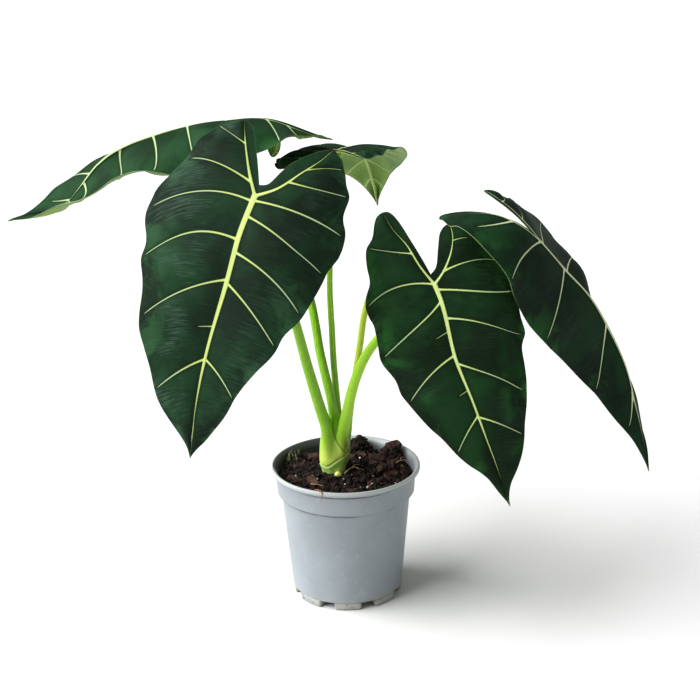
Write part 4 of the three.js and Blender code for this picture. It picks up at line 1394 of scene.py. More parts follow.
@dataclass
class Stalk:
    """One leaf stalk: a tapered round bar with a channel on the side towards the plant's middle."""

    name: str
    form: LeafForm
    sides: int = 28
    rings: int = 90
    taper: float = 0.7
    start_height: float = 150.0
    stub_length: float = 66.0
    under_blade: float = 2.2
    run_share: float = 0.35
    foot: Place = (-8.5, 1.0, 100.0)
    channel_depth: float = 0.16
    channel_half: float = 0.34
    lip_height: float = 0.09
    lip_at: float = 0.75
    lip_half: float = 0.22
    dark_half: float = 0.2
    stub_growth: tuple[float, float, float] = (0.6, 0.4, -0.3)
    run_on: tuple[Place, ...] = ((5, 0.95, 0.3), (14, 0.8, 0.15), (26, 0.6, 0.0))
    knot_step: int = 12

    def path(self) -> tuple[Line, np.ndarray]:
        """Lay the stalk's middle line, which runs on under the blade's midrib.

        Returns:
            The line, and the radius at each of its points.
        """
        surface, top = LeafSurface(self.form), self.form.stalk_top
        point, _, up, _ = surface.frame(np.array([0.0]))
        end = point[0] - up[0] * (top + self.under_blade)
        x, y, _ = self.form.stalk[0]
        foot_x, foot_y, foot_z = self.foot
        deep_foot = (foot_x + (x - foot_x) * self.run_share, foot_y + (y - foot_y) * self.run_share, foot_z)
        line = Line(drawn(np.vstack([deep_foot, self.form.stalk, end]), 24, power=0.5))
        base = self.form.stalk_base
        radius = base + (top - base) * (line.reach / line.length) ** self.taper
        distance, slim, low = np.array(self.run_on).T
        point, _, up, _ = surface.frame(distance)
        slim = slim * top
        ahead = point - up * (low * top + slim + 0.15)[:, None]
        cut = len(line.points) - self.knot_step
        whole = np.vstack([line.points[:cut], ahead])
        radii = np.concatenate([radius[:cut], slim])
        knots = np.concatenate([np.arange(0, cut, self.knot_step), np.arange(cut, len(whole))])
        fine = drawn(whole[knots], 20, power=0.5)
        at = np.linspace(0, len(knots) - 1, len(fine))
        return Line(fine), np.interp(at, np.arange(len(knots)), radii[knots])

    @staticmethod
    def _inwards(line: Line) -> np.ndarray:
        """Find the direction of the plant's middle, on which the channel lies."""
        lean = line.points[-1] - line.points[0]
        toward = -np.array([lean[0], lean[1], 0.0])
        toward = toward / np.linalg.norm(toward) + np.array([0, 0, 0.25])
        tangents = line.tangents()
        return unit(toward - (tangents @ toward)[:, None] * tangents)

    def build(self, stub: bool = False) -> list[Piece]:
        """Make the stalk, or only the stub that grows out of the stem base.

        Args:
            stub: Whether it is the stub, which is thicker at its foot and slimmer at its end.

        Returns:
            The stalk, with the measure "seam" along its channel.
        """
        line, radius = self.path()
        bar = straight_bar(self.name, self.sides, self.rings)
        spots = read_places(bar)
        low = 0.0 if stub else float(np.interp(self.start_height, line.points[:, 2], line.reach))
        high = self.stub_length if stub else line.length
        distance = low + (high - low) * np.clip(spots[:, 2], 0, 1)
        ahead = unit(line.at(distance, line.tangents()))
        toward = unit(line.at(distance, self._inwards(line)))
        toward = unit(toward - (toward * ahead).sum(-1, keepdims=True) * ahead)
        angle = np.arctan2(spots[:, 1], spots[:, 0])
        out = np.hypot(spots[:, 0], spots[:, 1])
        share = distance / line.length
        channel = self.channel_depth * bell(angle, self.channel_half)
        lips = self.lip_height * bell(np.abs(angle) - self.lip_at, self.lip_half)
        fade = step_between(share, 0.98, 0.8)
        shape = 1 + fade * (lips * step_between(share, 0.62, 0.42) - channel)
        grown = np.interp(distance, (0, 38, self.stub_length), self.stub_growth) if stub else 0.0
        size = (np.interp(distance, line.reach, radius) + grown) * out * shape
        place = (line.at(distance) + toward * (np.cos(angle) * size)[:, None]
                 + np.cross(ahead, toward) * (np.sin(angle) * size)[:, None])
        write_places(bar, place * MM)
        dark = bell(angle, self.dark_half) * fade * step_between(share, 0.75, 0.5) * 0.75
        write_measure(bar, "seam", np.where(out > 0.5, dark, 0.0))
        with editing(bar):
            bpy.ops.mesh.remove_doubles(threshold=0.005 * MM)
            bpy.ops.mesh.normals_make_consistent(inside=False)
        return [smooth(bar, 60)]

    def dress(self, pieces: list[Piece], wardrobe: Wardrobe) -> None:
        """Give the stalk its leaf's skin."""
        wardrobe.wear(pieces[0], self.form.skin)


@dataclass
class StemBase:
    """The sheathed foot of the plant, into which the stalks run, with its seams, fold ring and bud."""

    stalks: list[Stalk]
    centre: tuple[float, float] = (-8.5, 1.0)
    flattening: float = 0.86
    profile: Marks = (
        (5.4, 73), (7.2, 77), (7.8, 86), (8.0, 96), (8.2, 101), (8.6, 104.5), (9.9, 107.5), (11.4, 110.5),
        (12.3, 114), (12.4, 119), (12.1, 125), (11.5, 131), (10.5, 137), (9.1, 142), (7.1, 147), (4.6, 152),
        (1.5, 156))
    foot_lean: float = -2.2
    voxel: float = 0.62
    seam: Marks = (
        (-96, 152), (-95, 147), (-94, 142.5), (-89, 137.5), (-81.6, 132.4), (-65, 126.7), (-50, 122),
        (-41, 120.5))
    fold: Marks = (
        (-190, 111), (-165, 111.2), (-146, 110.5), (-128, 109.7), (-112, 111.2), (-97, 113.6), (-75, 117.2),
        (-50, 119.8), (-41, 120.5), (-30, 121.5), (-10, 123.5))
    degree: float = 0.215
    seam_depth: float = 0.6
    fold_depth: float = 0.9
    groove: float = 0.75
    groove_line: float = 0.42
    overlap: float = 0.4
    overlap_width: float = 3.2
    membrane_marks: int = 88
    membrane_thickness: float = 0.12
    bud_at: Place = (-6.2, -11.0, 105.0)
    bud_size: Place = (3.1, 2.4, 2.8)

    def build(self) -> list[Piece]:
        """Make the stem base, the dry edge of its sheath and its bud, in order."""
        skin = self._skin()
        return [skin, self._membrane(skin), self._bud()]

    def dress(self, pieces: list[Piece], wardrobe: Wardrobe) -> None:
        """Give the skin, the sheath's edge and the bud their finishes."""
        finishes = (
            WaxySkin("waxy_skin"),
            Mottled("dry_sheath", roughness=0.6, base=(0.34, 0.27, 0.11), patch=(0.16, 0.09, 0.035),
                    scale=300.0),
            Mottled("yellow_bud", roughness=0.45, base=(0.70, 0.66, 0.16), patch=(0.50, 0.55, 0.12),
                    scale=260.0))
        for piece, finish in zip(pieces, finishes):
            wardrobe.wear(piece, finish)

    def _skin(self) -> Piece:
        """Make the stem with the stalks' feet grown into it, and return it."""
        body = turned("stem_foot", list(self.profile), 48)
        places = read_places(body)
        places[:, 1] *= self.flattening
        lean = self.foot_lean * (1 - step_between(places[:, 2] / MM, 104, 116))
        places[:, 0] += (self.centre[0] + lean) * MM
        places[:, 1] += self.centre[1] * MM
        write_places(body, places)
        stubs = [stub for stalk in self.stalks for stub in stalk.build(stub=True)]
        piece = join([body, *stubs], "stem_base_skin")
        apply_modifier(piece, "REMESH", mode="VOXEL", voxel_size=self.voxel * MM)
        apply_modifier(piece, "SMOOTH", factor=0.5, iterations=26)
        self._press_seams(piece)
        return smooth(piece, 80)

    def _press_seams(self, piece: Piece) -> None:
        """Press the sheath's seam and the fold ring into the skin, and store "seam" and "under_fold"."""
        places = read_places(piece) / MM
        normals = np.array([vertex.normal[:] for vertex in piece.data.vertices])
        x, y = places[:, 0] - self.centre[0], (places[:, 1] - self.centre[1]) / self.flattening
        angle = np.degrees(np.arctan2(y, x))
        angle = np.where(angle > 100, angle - 360, angle)
        flat = np.stack([angle * self.degree, places[:, 2]], axis=-1)
        lift, dark = np.zeros((2, len(places)))
        for marks, depth, tint in ((self.seam, self.seam_depth, 0.8), (self.fold, self.fold_depth, 0.45)):
            near, _, below = Line(drawn(marks, 14) * (self.degree, 1)).nearest(flat)
            lift += self.overlap * below * bell(near, self.overlap_width) - depth * bell(near, self.groove)
            dark = np.maximum(dark, tint * bell(near, self.groove_line))
            under = np.clip(np.where(below, near, -near) / 1.2 + 0.5, 0, 1)
        front = np.clip(places[:, 2] - 90, 0, 1)
        write_places(piece, (places + normals * (lift * front)[:, None]) * MM)
        write_measure(piece, "seam", dark)
        write_measure(piece, "under_fold", under)

    def _membrane(self, skin: Piece) -> Piece:
        """Make the dry papery edge that stands along the upper part of the seam.

        Args:
            skin: The stem that it stands on.

        Returns:
            The strip.
        """
        line = drawn(self.seam, 14)[:self.membrane_marks]
        turn = np.radians(line[:, 0])
        out = np.stack([np.cos(turn), np.sin(turn) * self.flattening, np.zeros(len(turn))], axis=-1)
        axis = np.column_stack([np.full((len(line), 2), self.centre), line[:, 1]])
        at = np.array([skin.ray_cast(Vector(far * MM), Vector(-way))[1][:]
                       for far, way in zip(axis + out * 40, out)]) / MM
        count = len(line) - 1
        strip, column, v = grid("sheath_edge", 3, count)
        u = column / 3
        ragged = 0.55 + 0.35 * np.sin(v * 0.9) * np.sin(v * 0.37 + 1)
        fade = np.sin(np.pi * np.clip(v / count, 0.02, 0.98)) ** 0.5
        place = at[v] + out[v] * (u * ragged * fade - 0.5)[:, None]
        place[:, 2] += u * 0.35
        write_places(strip, place * MM)
        apply_modifier(strip, "SOLIDIFY", thickness=self.membrane_thickness * MM, offset=0)
        return smooth(strip, 60)

    def _bud(self) -> Piece:
        """Make the small yellow bud at the stem's foot, and return it."""
        bud = primitive("root_bud", bpy.ops.mesh.primitive_uv_sphere_add, segments=20, ring_count=12,
                        radius=1)
        spots = read_places(bud)
        point = 1 - 0.35 * np.clip(spots[:, 2], 0, 1)
        shape = spots * np.stack([point, point, np.ones(len(point))], axis=-1) * self.bud_size
        shape[:, 0] += 0.25 * spots[:, 2] ** 2
        write_places(bud, (shape + self.bud_at) * MM)
        return smooth(bud, 80)


# Pot and soil


@dataclass
class NurseryPot:
    """The moulded pot: lip, collar, step, tapered wall, feet and drain holes."""

    rim_radius: float = 60.0
    height: float = 110.0
    base_radius: float = 44.5
    foot_height: float = 6.0
    lip_height: float = 4.0
    lip_overhang: float = 3.6
    collar_height: float = 22.0
    step_inset: float = 3.4
    foot_count: int = 8
    foot_arc: float = 30.0
    foot_depth: float = 8.0
    foot_into: float = 0.6
    foot_rounding: float = 1.8
    foot_spread: float = 0.97
    gate_radius: float = 9.0
    drain_radius: float = 3.2
    drain_circle: float = 35.0
    sides: int = 160

    def profile(self) -> list[tuple[float, float]]:
        """List the wall's section from the gate under the floor, up over the lip, to the floor inside."""
        collar = self.rim_radius - self.lip_overhang
        foot = collar - 1
        step = self.height - self.collar_height
        body = foot - self.step_inset
        lip = self.height - self.lip_height
        rim, top, base, gate = self.rim_radius, self.height, self.base_radius, self.gate_radius
        return [
            (gate - 1, 0), (gate, 0.4), (gate + 0.6, 5.6), (gate + 1.2, 6), (base - 1.4, 6),
            (base - 0.5, 6.4), (base, 7.4), (base + 0.12, 8.8), (body - 0.25, step - 3.2),
            (body + 0.05, step - 1.7), (body + 0.7, step - 0.9), (foot - 0.5, step - 0.1),
            (foot, step + 0.6), (foot + 0.03, step + 1.6), (collar - 0.02, lip - 1.2),
            (collar + 0.15, lip - 0.4), (collar + 0.7, lip), (rim - 0.7, lip + 0.05),
            (rim - 0.15, lip + 0.3), (rim, lip + 0.9), (rim, top - 1.3), (rim - 0.3, top - 0.5),
            (rim - 0.8, top - 0.05), (rim - 1.4, top), (rim - 2.0, top - 0.15), (rim - 2.7, top - 0.7),
            (rim - 3.5, top - 1.7), (rim - 4.3, top - 3.0), (collar - 1.4, top - 4.6),
            (collar - 1.6, top - 6.2), (foot - 1.6, step + 0.9), (foot - 1.9, step), (body - 1.4, step - 1),
            (body - 1.6, step - 2), (base - 2.0, 9.6), (base - 2.6, 8.3), (base - 3.6, 8)]

    def build(self) -> list[Piece]:
        """Make the pot, drill its drain holes and set its feet under it."""
        shell = turned("pot_shell", self.profile(), self.sides)
        drills = []
        for i in range(self.foot_count):
            angle = (i + 0.5) * 2 * math.pi / self.foot_count
            middle = Vector((self.drain_circle * math.cos(angle), self.drain_circle * math.sin(angle), 7))
            drills.append(primitive(
                "drain_drill", bpy.ops.mesh.primitive_cylinder_add, vertices=24,
                radius=self.drain_radius * MM, depth=8 * MM, location=middle * MM))
        drill = join(drills, "drain_drill")
        apply_modifier(shell, "BOOLEAN", operation="DIFFERENCE", object=drill, solver="EXACT")
        bpy.data.objects.remove(drill)
        feet = [self._foot(i * 360 / self.foot_count - 90) for i in range(self.foot_count)]
        return [smooth(join([shell, *feet], "nursery_pot"), 38)]

    def dress(self, pieces: list[Piece], wardrobe: Wardrobe) -> None:
        """Give the pot its plastic."""
        wardrobe.wear(pieces[0], ScuffedPlastic("pot_plastic_scuffed", roughness=0.42, specular=0.45))

    def _foot(self, degrees: float) -> Piece:
        """Make one foot: a short curved block with rounded corners, grown from a cube.

        Args:
            degrees: Where it stands round the pot.

        Returns:
            The foot.
        """
        foot = primitive("foot", bpy.ops.mesh.primitive_cube_add, size=1)
        outer = self.base_radius - 0.5
        arc = math.radians(self.foot_arc) * outer
        tall = self.foot_height + self.foot_into
        foot.scale = (self.foot_depth * MM, arc * MM, tall * MM)
        bpy.ops.object.transform_apply(location=False, rotation=False, scale=True)
        with editing(foot):
            bpy.ops.mesh.bevel(offset=self.foot_rounding * MM, segments=4, affect="EDGES")
            for part in range(1, 9):
                bpy.ops.mesh.select_all(action="SELECT")
                bpy.ops.mesh.bisect(plane_co=(0, (part / 9 - 0.5) * arc * MM, 0), plane_no=(0, 1, 0))
        spots = read_places(foot) / MM
        spread = np.where(spots[:, 2] > 1, 1.0, self.foot_spread)
        angle = math.radians(degrees) + spots[:, 1] * spread / outer
        radius = outer - self.foot_depth / 2 + spots[:, 0]
        height = spots[:, 2] + tall / 2
        write_places(foot, np.stack([np.cos(angle) * radius, np.sin(angle) * radius, height], axis=-1) * MM)
        return foot


@dataclass
class SoilBed:
    """The soil: a lumpy bed, with loose crumbs, bark, perlite, root fibres and moss lying on it."""

    rng: np.random.Generator
    radius: float = 54.0
    edge_level: float = 100.0
    middle_level: float = 104.0
    lump: float = 1.3
    heaps: tuple[tuple[float, float, float, float], ...] = (
        (11.5, 44, 8.5, 8.5), (39.5, 31, 8, 8), (-42, 27, 4.5, 9))
    rings: Marks = ((90.4, 0.985), (89.2, 0.935), (8.3, 0.83))
    cells: int = 150
    crumbs: int = 1500
    clods: int = 260
    chips: int = 44
    chip_size: Place = (8.0, 4.6, 2.2)
    large_chips: tuple[tuple[Place, Place, Place], ...] = (
        ((26.0, 23.0, 0.5), (0.5, 0.1, 0.1), (12.5, 6.0, 4.0)),
        ((40.0, 30.0, 1.2), (0.4, -0.2, 0.5), (10.0, 7.0, 4.5)))
    piles: tuple[tuple[float, float, float, float, int], ...] = (
        (11.5, 44, 8.5, 2.2, 110), (39.5, 31, 8.5, 3, 90), (-42, 27, 8, 2, 30))
    grains: int = 22
    front_grains: Marks = ((-39.9, -8.1), (-27.8, -14.6), (11.8, 21.0), (7.0, 13.5))
    front_grain_size: float = 1.9
    sprigs: int = 16
    stem_at: tuple[float, float] = (-8.5, 1.0)

    def build(self) -> list[Piece]:
        """Make the bed and what lies on it, in order."""
        return [self._bed(), self._crumbs(), self._bark(), self._perlite(),
                self._fibres("root_fibres", ROOTS), self._fibres("rim_fibre", RIM_FIBRE), self._moss()]

    def dress(self, pieces: list[Piece], wardrobe: Wardrobe) -> None:
        """Give the bed and what lies on it their finishes."""
        peat = Peat("damp_peat", roughness=0.9, specular=0.3)
        finishes = (
            peat, peat, Bark("red_bark", roughness=0.8, specular=0.3),
            Mottled("white_perlite", roughness=0.7),
            Mottled("pale_root", roughness=0.7, base=(0.42, 0.29, 0.19), patch=(0.16, 0.09, 0.06),
                    scale=350.0),
            Mottled("red_fibre", roughness=0.8, base=(0.26, 0.11, 0.06), patch=(0.08, 0.03, 0.02),
                    scale=400.0),
            Mottled("moss_green", roughness=0.7, base=(0.18, 0.20, 0.06), patch=(0.05, 0.07, 0.02),
                    scale=600.0))
        for piece, finish in zip(pieces, finishes):
            wardrobe.wear(piece, finish)

    def level(self, x: np.ndarray, y: np.ndarray) -> np.ndarray:
        """Find the soil's height: a low mound with lumps and flat-topped heaps at the back.

        Args:
            x: Places to the right of the pot's axis.
            y: Places behind it.

        Returns:
            Heights in millimetres.
        """
        share = np.clip(np.hypot(x, y) / self.radius, 0, 1)
        mound = self.middle_level + (self.edge_level - self.middle_level) * share**2.2
        lumps = np.sin(x * 0.21 + 1.7) * np.cos(y * 0.19 - 0.6) + 0.6 * np.sin(x * 0.43 - y * 0.37)
        height = mound + self.lump * lumps * (1 - 0.5 * share)
        for heap_x, heap_y, rise, spread in self.heaps:
            height = height + rise * np.exp(-(((x - heap_x) ** 2 + (y - heap_y) ** 2) / spread**2) ** 2)
        return height

    def _bed(self) -> Piece:
        """Make the body of soil, with a crumbly top, and return it."""
        bed = primitive("soil_bed", bpy.ops.mesh.primitive_grid_add, x_subdivisions=self.cells,
                        y_subdivisions=self.cells, size=2)
        a, b, _ = read_places(bed).T
        x = a * np.sqrt(1 - b**2 / 2) * self.radius
        y = b * np.sqrt(1 - a**2 / 2) * self.radius
        crumble = np.array([
            noise.fractal((px * 0.16, py * 0.16, 3.1), 0.9, 2.1, 5)
            + 0.9 * abs(noise.noise((px * 0.34, py * 0.34, 8.0)))
            for px, py in zip(x.tolist(), y.tolist())])
        inside = step_between(np.hypot(x, y), self.radius, self.radius - 3)
        height = self.level(x, y) + (crumble * 2.3 - 1.2) * (0.4 + 0.6 * inside)
        write_places(bed, np.stack([x, y, height], axis=-1) * MM)
        write_measure(bed, "tone", np.clip(0.35 + 0.5 * crumble, 0, 1))
        with editing(bed):
            bpy.ops.mesh.region_to_loop()
            for level, share in self.rings:
                bpy.ops.mesh.extrude_edges_move(TRANSFORM_OT_translate={"value": (0, 0, -MM)})
                bpy.ops.transform.resize(value=(share, share, 0), center_override=(0, 0, level * MM))
            close_up()
        return smooth(bed, 70)

    def _scatter(self, count: int, inner: float, outer: float) -> np.ndarray:
        """Pick places on the soil, clear of the stem.

        Args:
            count: How many.
            inner: Least distance from the stem.
            outer: Greatest distance from the pot's axis.

        Returns:
            Places in millimetres.
        """
        found: list[list[float]] = []
        while len(found) < count:
            angle, reach = self.rng.random() * 2 * math.pi, outer * math.sqrt(self.rng.random())
            x, y = reach * math.cos(angle), reach * math.sin(angle)
            if math.hypot(x - self.stem_at[0], y - self.stem_at[1]) > inner:
                found.append([x, y])
        spots = np.array(found)
        return np.column_stack([spots, self.level(*spots.T)])

    def _sizes(self, least: float, more: float, power: float, uneven: tuple[float, float],
               count: int) -> np.ndarray:
        """Draw sizes that differ from copy to copy, and along each copy's own axes.

        Args:
            least: The smallest size.
            more: How much is added to it at most.
            power: Above 1, larger sizes are rarer.
            uneven: The least factor along an axis, and what is added to it at most.
            count: How many.

        Returns:
            Three sizes for each copy.
        """
        size = least + more * self.rng.random((count, 1)) ** power
        return size * (uneven[0] + uneven[1] * self.rng.random((count, 3)))

    @staticmethod
    def _lump_seeds(kinds: int, subdivisions: int, rough: float) -> list[Piece]:
        """Model a few lumps from rounded primitives, each dented its own way.

        Args:
            kinds: How many.
            subdivisions: How finely they are divided.
            rough: How deep the dents are.

        Returns:
            The lumps, 1 across.
        """
        seeds = []
        for kind in range(kinds):
            seed = primitive("lump", bpy.ops.mesh.primitive_ico_sphere_add, subdivisions=subdivisions,
                             radius=0.5)
            for vertex in seed.data.vertices:
                vertex.co *= 1 + rough * noise.noise(vertex.co * 2.6 + Vector((kind * 7.3, 0, kind)))
            seeds.append(seed)
        return seeds

    def _crumbs(self) -> Piece:
        """Make the loose crumbs, and clods with some in heaps, as one piece, and return it."""
        rng = self.rng
        small = self._scatter(self.crumbs, 12.2, self.radius - 1.2)
        small[:, 2] += rng.random(self.crumbs) * 1.7 - 0.2
        big = self._scatter(self.clods, 13.0, self.radius - 3.0)
        big[:, 2] += rng.random(self.clods)
        for x, y, spread, height, count in self.piles:
            offset = np.clip(rng.normal(size=(count, 2)) * 0.6, -1.4, 1.4) * spread
            spots = offset + (x, y)
            spots /= np.maximum(np.linalg.norm(spots, axis=1, keepdims=True) / (self.radius - 2.6), 1)
            rise = height * bell(((offset / spread) ** 2).sum(axis=1), 1) * rng.random(count) ** 0.6
            big = np.vstack([big, np.column_stack([spots, self.level(*spots.T) + rise])])
        small_sizes = self._sizes(0.9, 1.9, 2, (0.7, 0.6), len(small))
        big_sizes = self._sizes(2.6, 3.2, 1.5, (0.7, 0.5), len(big))
        kinds = (("small_crumbs", (5, 1, 0.9), small, small_sizes),
                 ("big_crumbs", (5, 2, 1.1), big, big_sizes))
        parts = [copies(name, self._lump_seeds(*seed), at, rng.random(at.shape) * FULL_TURN, sizes, rng)
                 for name, seed, at, sizes in kinds]
        return smooth(join(parts, "soil_crumbs"), 45)

    def _bark(self) -> Piece:
        """Make the chips of bark from a few bent and tapered cubes, and return them as one piece."""
        rng, seeds = self.rng, []
        for kind in range(4):
            seed = primitive("chip", bpy.ops.mesh.primitive_cube_add, size=1)
            with editing(seed):
                bpy.ops.mesh.subdivide(number_cuts=3, smoothness=0.25)
            for vertex in seed.data.vertices:
                vertex.co += noise.noise_vector(vertex.co * 2.4 + Vector((kind * 5.1, kind, 0))) * 0.16
                vertex.co.y *= 1 - 0.35 * vertex.co.x
                vertex.co.z += 0.25 * vertex.co.y**2
            seeds.append(seed)
        at = self._scatter(self.chips, 14.5, self.radius - 5.5)
        back = rng.random(self.chips) < 0.3
        at[back, 0] = 12 + 34 * rng.random(int(back.sum()))
        at[back, 1] = -4 + 36 * rng.random(int(back.sum()))
        at[:, :2] /= np.maximum(np.hypot(*at[:, :2].T) / (self.radius - 6), 1)[:, None]
        large = np.array(self.large_chips)
        at[:2, :2] = large[:, 0, :2]
        at[:, 2] = self.level(at[:, 0], at[:, 1]) + 0.7 + 1.6 * rng.random(self.chips)
        at[:2, 2] += large[:, 0, 2]
        turns = (rng.random((self.chips, 3)) - 0.5) * (1.2, 1.2, FULL_TURN)
        sizes = self._sizes(0.55, 0.75, 1, (0.75, 0.5), self.chips) * self.chip_size
        turns[:2], sizes[:2] = large[:, 1], large[:, 2]
        return smooth(copies("bark_chips", seeds, at, turns, sizes, rng), 35)

    def _perlite(self) -> Piece:
        """Make the white grains of perlite as one piece, and return it."""
        rng, count = self.rng, self.grains
        at = self._scatter(count, 13.5, self.radius - 3)
        at[:4, :2] = self.front_grains
        at[:, 2] = self.level(at[:, 0], at[:, 1]) + 1.3 + 0.5 * rng.random(count)
        sizes = self._sizes(0.7, 1.0, 1, (0.8, 0.4), count)
        sizes[:4] = self.front_grain_size
        turns = rng.random((count, 3)) * FULL_TURN
        return smooth(copies("perlite_grains", self._lump_seeds(3, 2, 0.5), at, turns, sizes, rng), 60)

    def _fibres(self, name: str, courses: list[tuple[list[Place], float]]) -> Piece:
        """Lay thin round threads along points, each a third as thick at its far end.

        Args:
            name: Name of the new piece.
            courses: For each thread its points in millimetres and its radius.

        Returns:
            The threads as one piece.
        """
        threads = []
        for marks, radius in courses:
            line = Line(drawn(marks, 10))
            bar = straight_bar("thread", 7, 6 * len(marks))
            spots = read_places(bar)
            distance = np.clip(spots[:, 2], 0, 1) * line.length
            ahead = unit(line.at(distance, line.tangents()))
            side = unit(np.cross(ahead, [0.13, 0.2, 1.0]))
            size = radius * (1 - 0.66 * distance / line.length) * (1 + 0.25 * np.sin(distance * 2.3))
            around = side * spots[:, :1] + np.cross(ahead, side) * spots[:, 1:2]
            write_places(bar, (line.at(distance) + around * size[:, None]) * MM)
            threads.append(bar)
        return smooth(join(threads, name), 60)

    def _moss(self) -> Piece:
        """Make the small sprigs of moss at the left of the pot as one piece, and return it."""
        rng = self.rng
        courses = []
        for _ in range(self.sprigs):
            x, y = -47 + 9 * rng.random(), 18 + 13 * rng.random()
            z = float(self.level(np.array(x), np.array(y)))
            lean_x, lean_y = (rng.random(2) - 0.5) * 5
            courses.append(([(x, y, z - 1), (x + lean_x * 0.4, y + lean_y * 0.4, z + 2.2),
                             (x + lean_x, y + lean_y, z + 4.4 + 2 * rng.random())], 0.55))
        return self._fibres("moss_sprigs", courses)


# Root fibres on the soil, and the fibre over the pot's front rim: points, and radius at the thick end
ROOTS = [
    ([(-1, -9, 104.5), (3, -4, 106.5), (7, -2, 107.2), (11, -4, 106.6), (15, -2, 104.5)], 0.75),
    ([(5, -3, 106.6), (7, 2, 107.5), (12, 4, 106.8)], 0.45),
    ([(40, 12, 103.4), (45, 15, 105.2), (49, 14, 105.6), (51, 10, 104.2)], 0.6),
    ([(44, 14, 104.9), (46, 19, 106.0), (49, 22, 104.5)], 0.4),
    ([(18, -30, 102.6), (23, -27, 104.4), (29, -28, 104.0), (33, -24, 102.4)], 0.35),
    ([(-30, -22, 102.4), (-26, -27, 104.0), (-20, -29, 103.8), (-15, -35, 102.0)], 0.35)]
RIM_FIBRE = [
    ([(-28, -40, 102.6), (-26, -46, 106), (-23, -52, 110.4), (-20.5, -56.5, 110.7),
      (-19.2, -57.0, 110.6)], 0.7),
    ([(-22, -53, 110.7), (-19.5, -55.5, 110.9), (-18.4, -57.2, 109.6), (-18.8, -57.3, 106.0),
      (-19.8, -57.2, 102.0)], 0.5),
    ([(-30, -44, 103.2), (-25, -48, 107), (-20, -48, 107.5), (-15, -49, 104.5)], 0.55)]


# Studio


@dataclass
class Studio:
    """Floor, lights and camera."""

    eye: Place = (5.2, -1300.0, 668.0)
    pitch: float = 19.54
    roll: float = -1.0
    focal_pixels: float = 1752.0
    frame_pixels: float = 700.0
    sensor: float = 36.0
    world_light: float = 0.36
    key_strength: float = 7.4
    key_spread: float = 62.0
    key_from: Place = (-1.65, -0.34, 1.5)
    floor_size: float = 24.0

    def build(self, wardrobe: Wardrobe) -> None:
        """Set up the floor, the lights and the camera.

        Args:
            wardrobe: The scene's materials.
        """
        floor = primitive("studio_floor", bpy.ops.mesh.primitive_grid_add, x_subdivisions=8,
                          y_subdivisions=8, size=self.floor_size)
        wardrobe.wear(floor, Mottled(
            "pale_floor", roughness=0.9, specular=0.1, base=(0.62, 0.62, 0.62), patch=(0.635, 0.635, 0.635),
            scale=3.0, patch_share=1.0, spread=(0.3, 0.7), bump=0.0))
        world = bpy.data.worlds.new("soft_studio")
        world.use_nodes = True
        background = next(node for node in world.node_tree.nodes if node.type == "BACKGROUND")
        background.inputs["Color"].default_value = (1.0, 1.0, 1.0, 1.0)
        background.inputs["Strength"].default_value = self.world_light
        bpy.context.scene.world = world
        light = bpy.data.lights.new("key_light", "SUN")
        light.energy = self.key_strength
        light.angle = math.radians(self.key_spread)
        lamp = bpy.data.objects.new("key_light", light)
        bpy.context.scene.collection.objects.link(lamp)
        lamp.rotation_euler = (-Vector(self.key_from)).to_track_quat("-Z", "Y").to_euler()
        bpy.context.scene.view_settings.view_transform = "Standard"
        camera = bpy.data.cameras.new("photo_camera")
        camera.sensor_width = self.sensor
        camera.lens = self.focal_pixels / self.frame_pixels * self.sensor
        holder = bpy.data.objects.new("photo_camera", camera)
        bpy.context.scene.collection.objects.link(holder)
        pitch, roll = math.radians(self.pitch), math.radians(self.roll)
        ahead = Vector((0, math.cos(pitch), -math.sin(pitch)))
        up = Vector((0, math.sin(pitch), math.cos(pitch)))
        right = Vector((1, 0, 0))
        tilted_right = right * math.cos(roll) + up * math.sin(roll)
        tilted_up = up * math.cos(roll) - right * math.sin(roll)
        turn = Matrix((tilted_right, tilted_up, -ahead)).transposed().to_4x4()
        holder.matrix_world = Matrix.Translation(Vector(self.eye) * MM) @ turn
        bpy.context.scene.camera = holder


# The plant


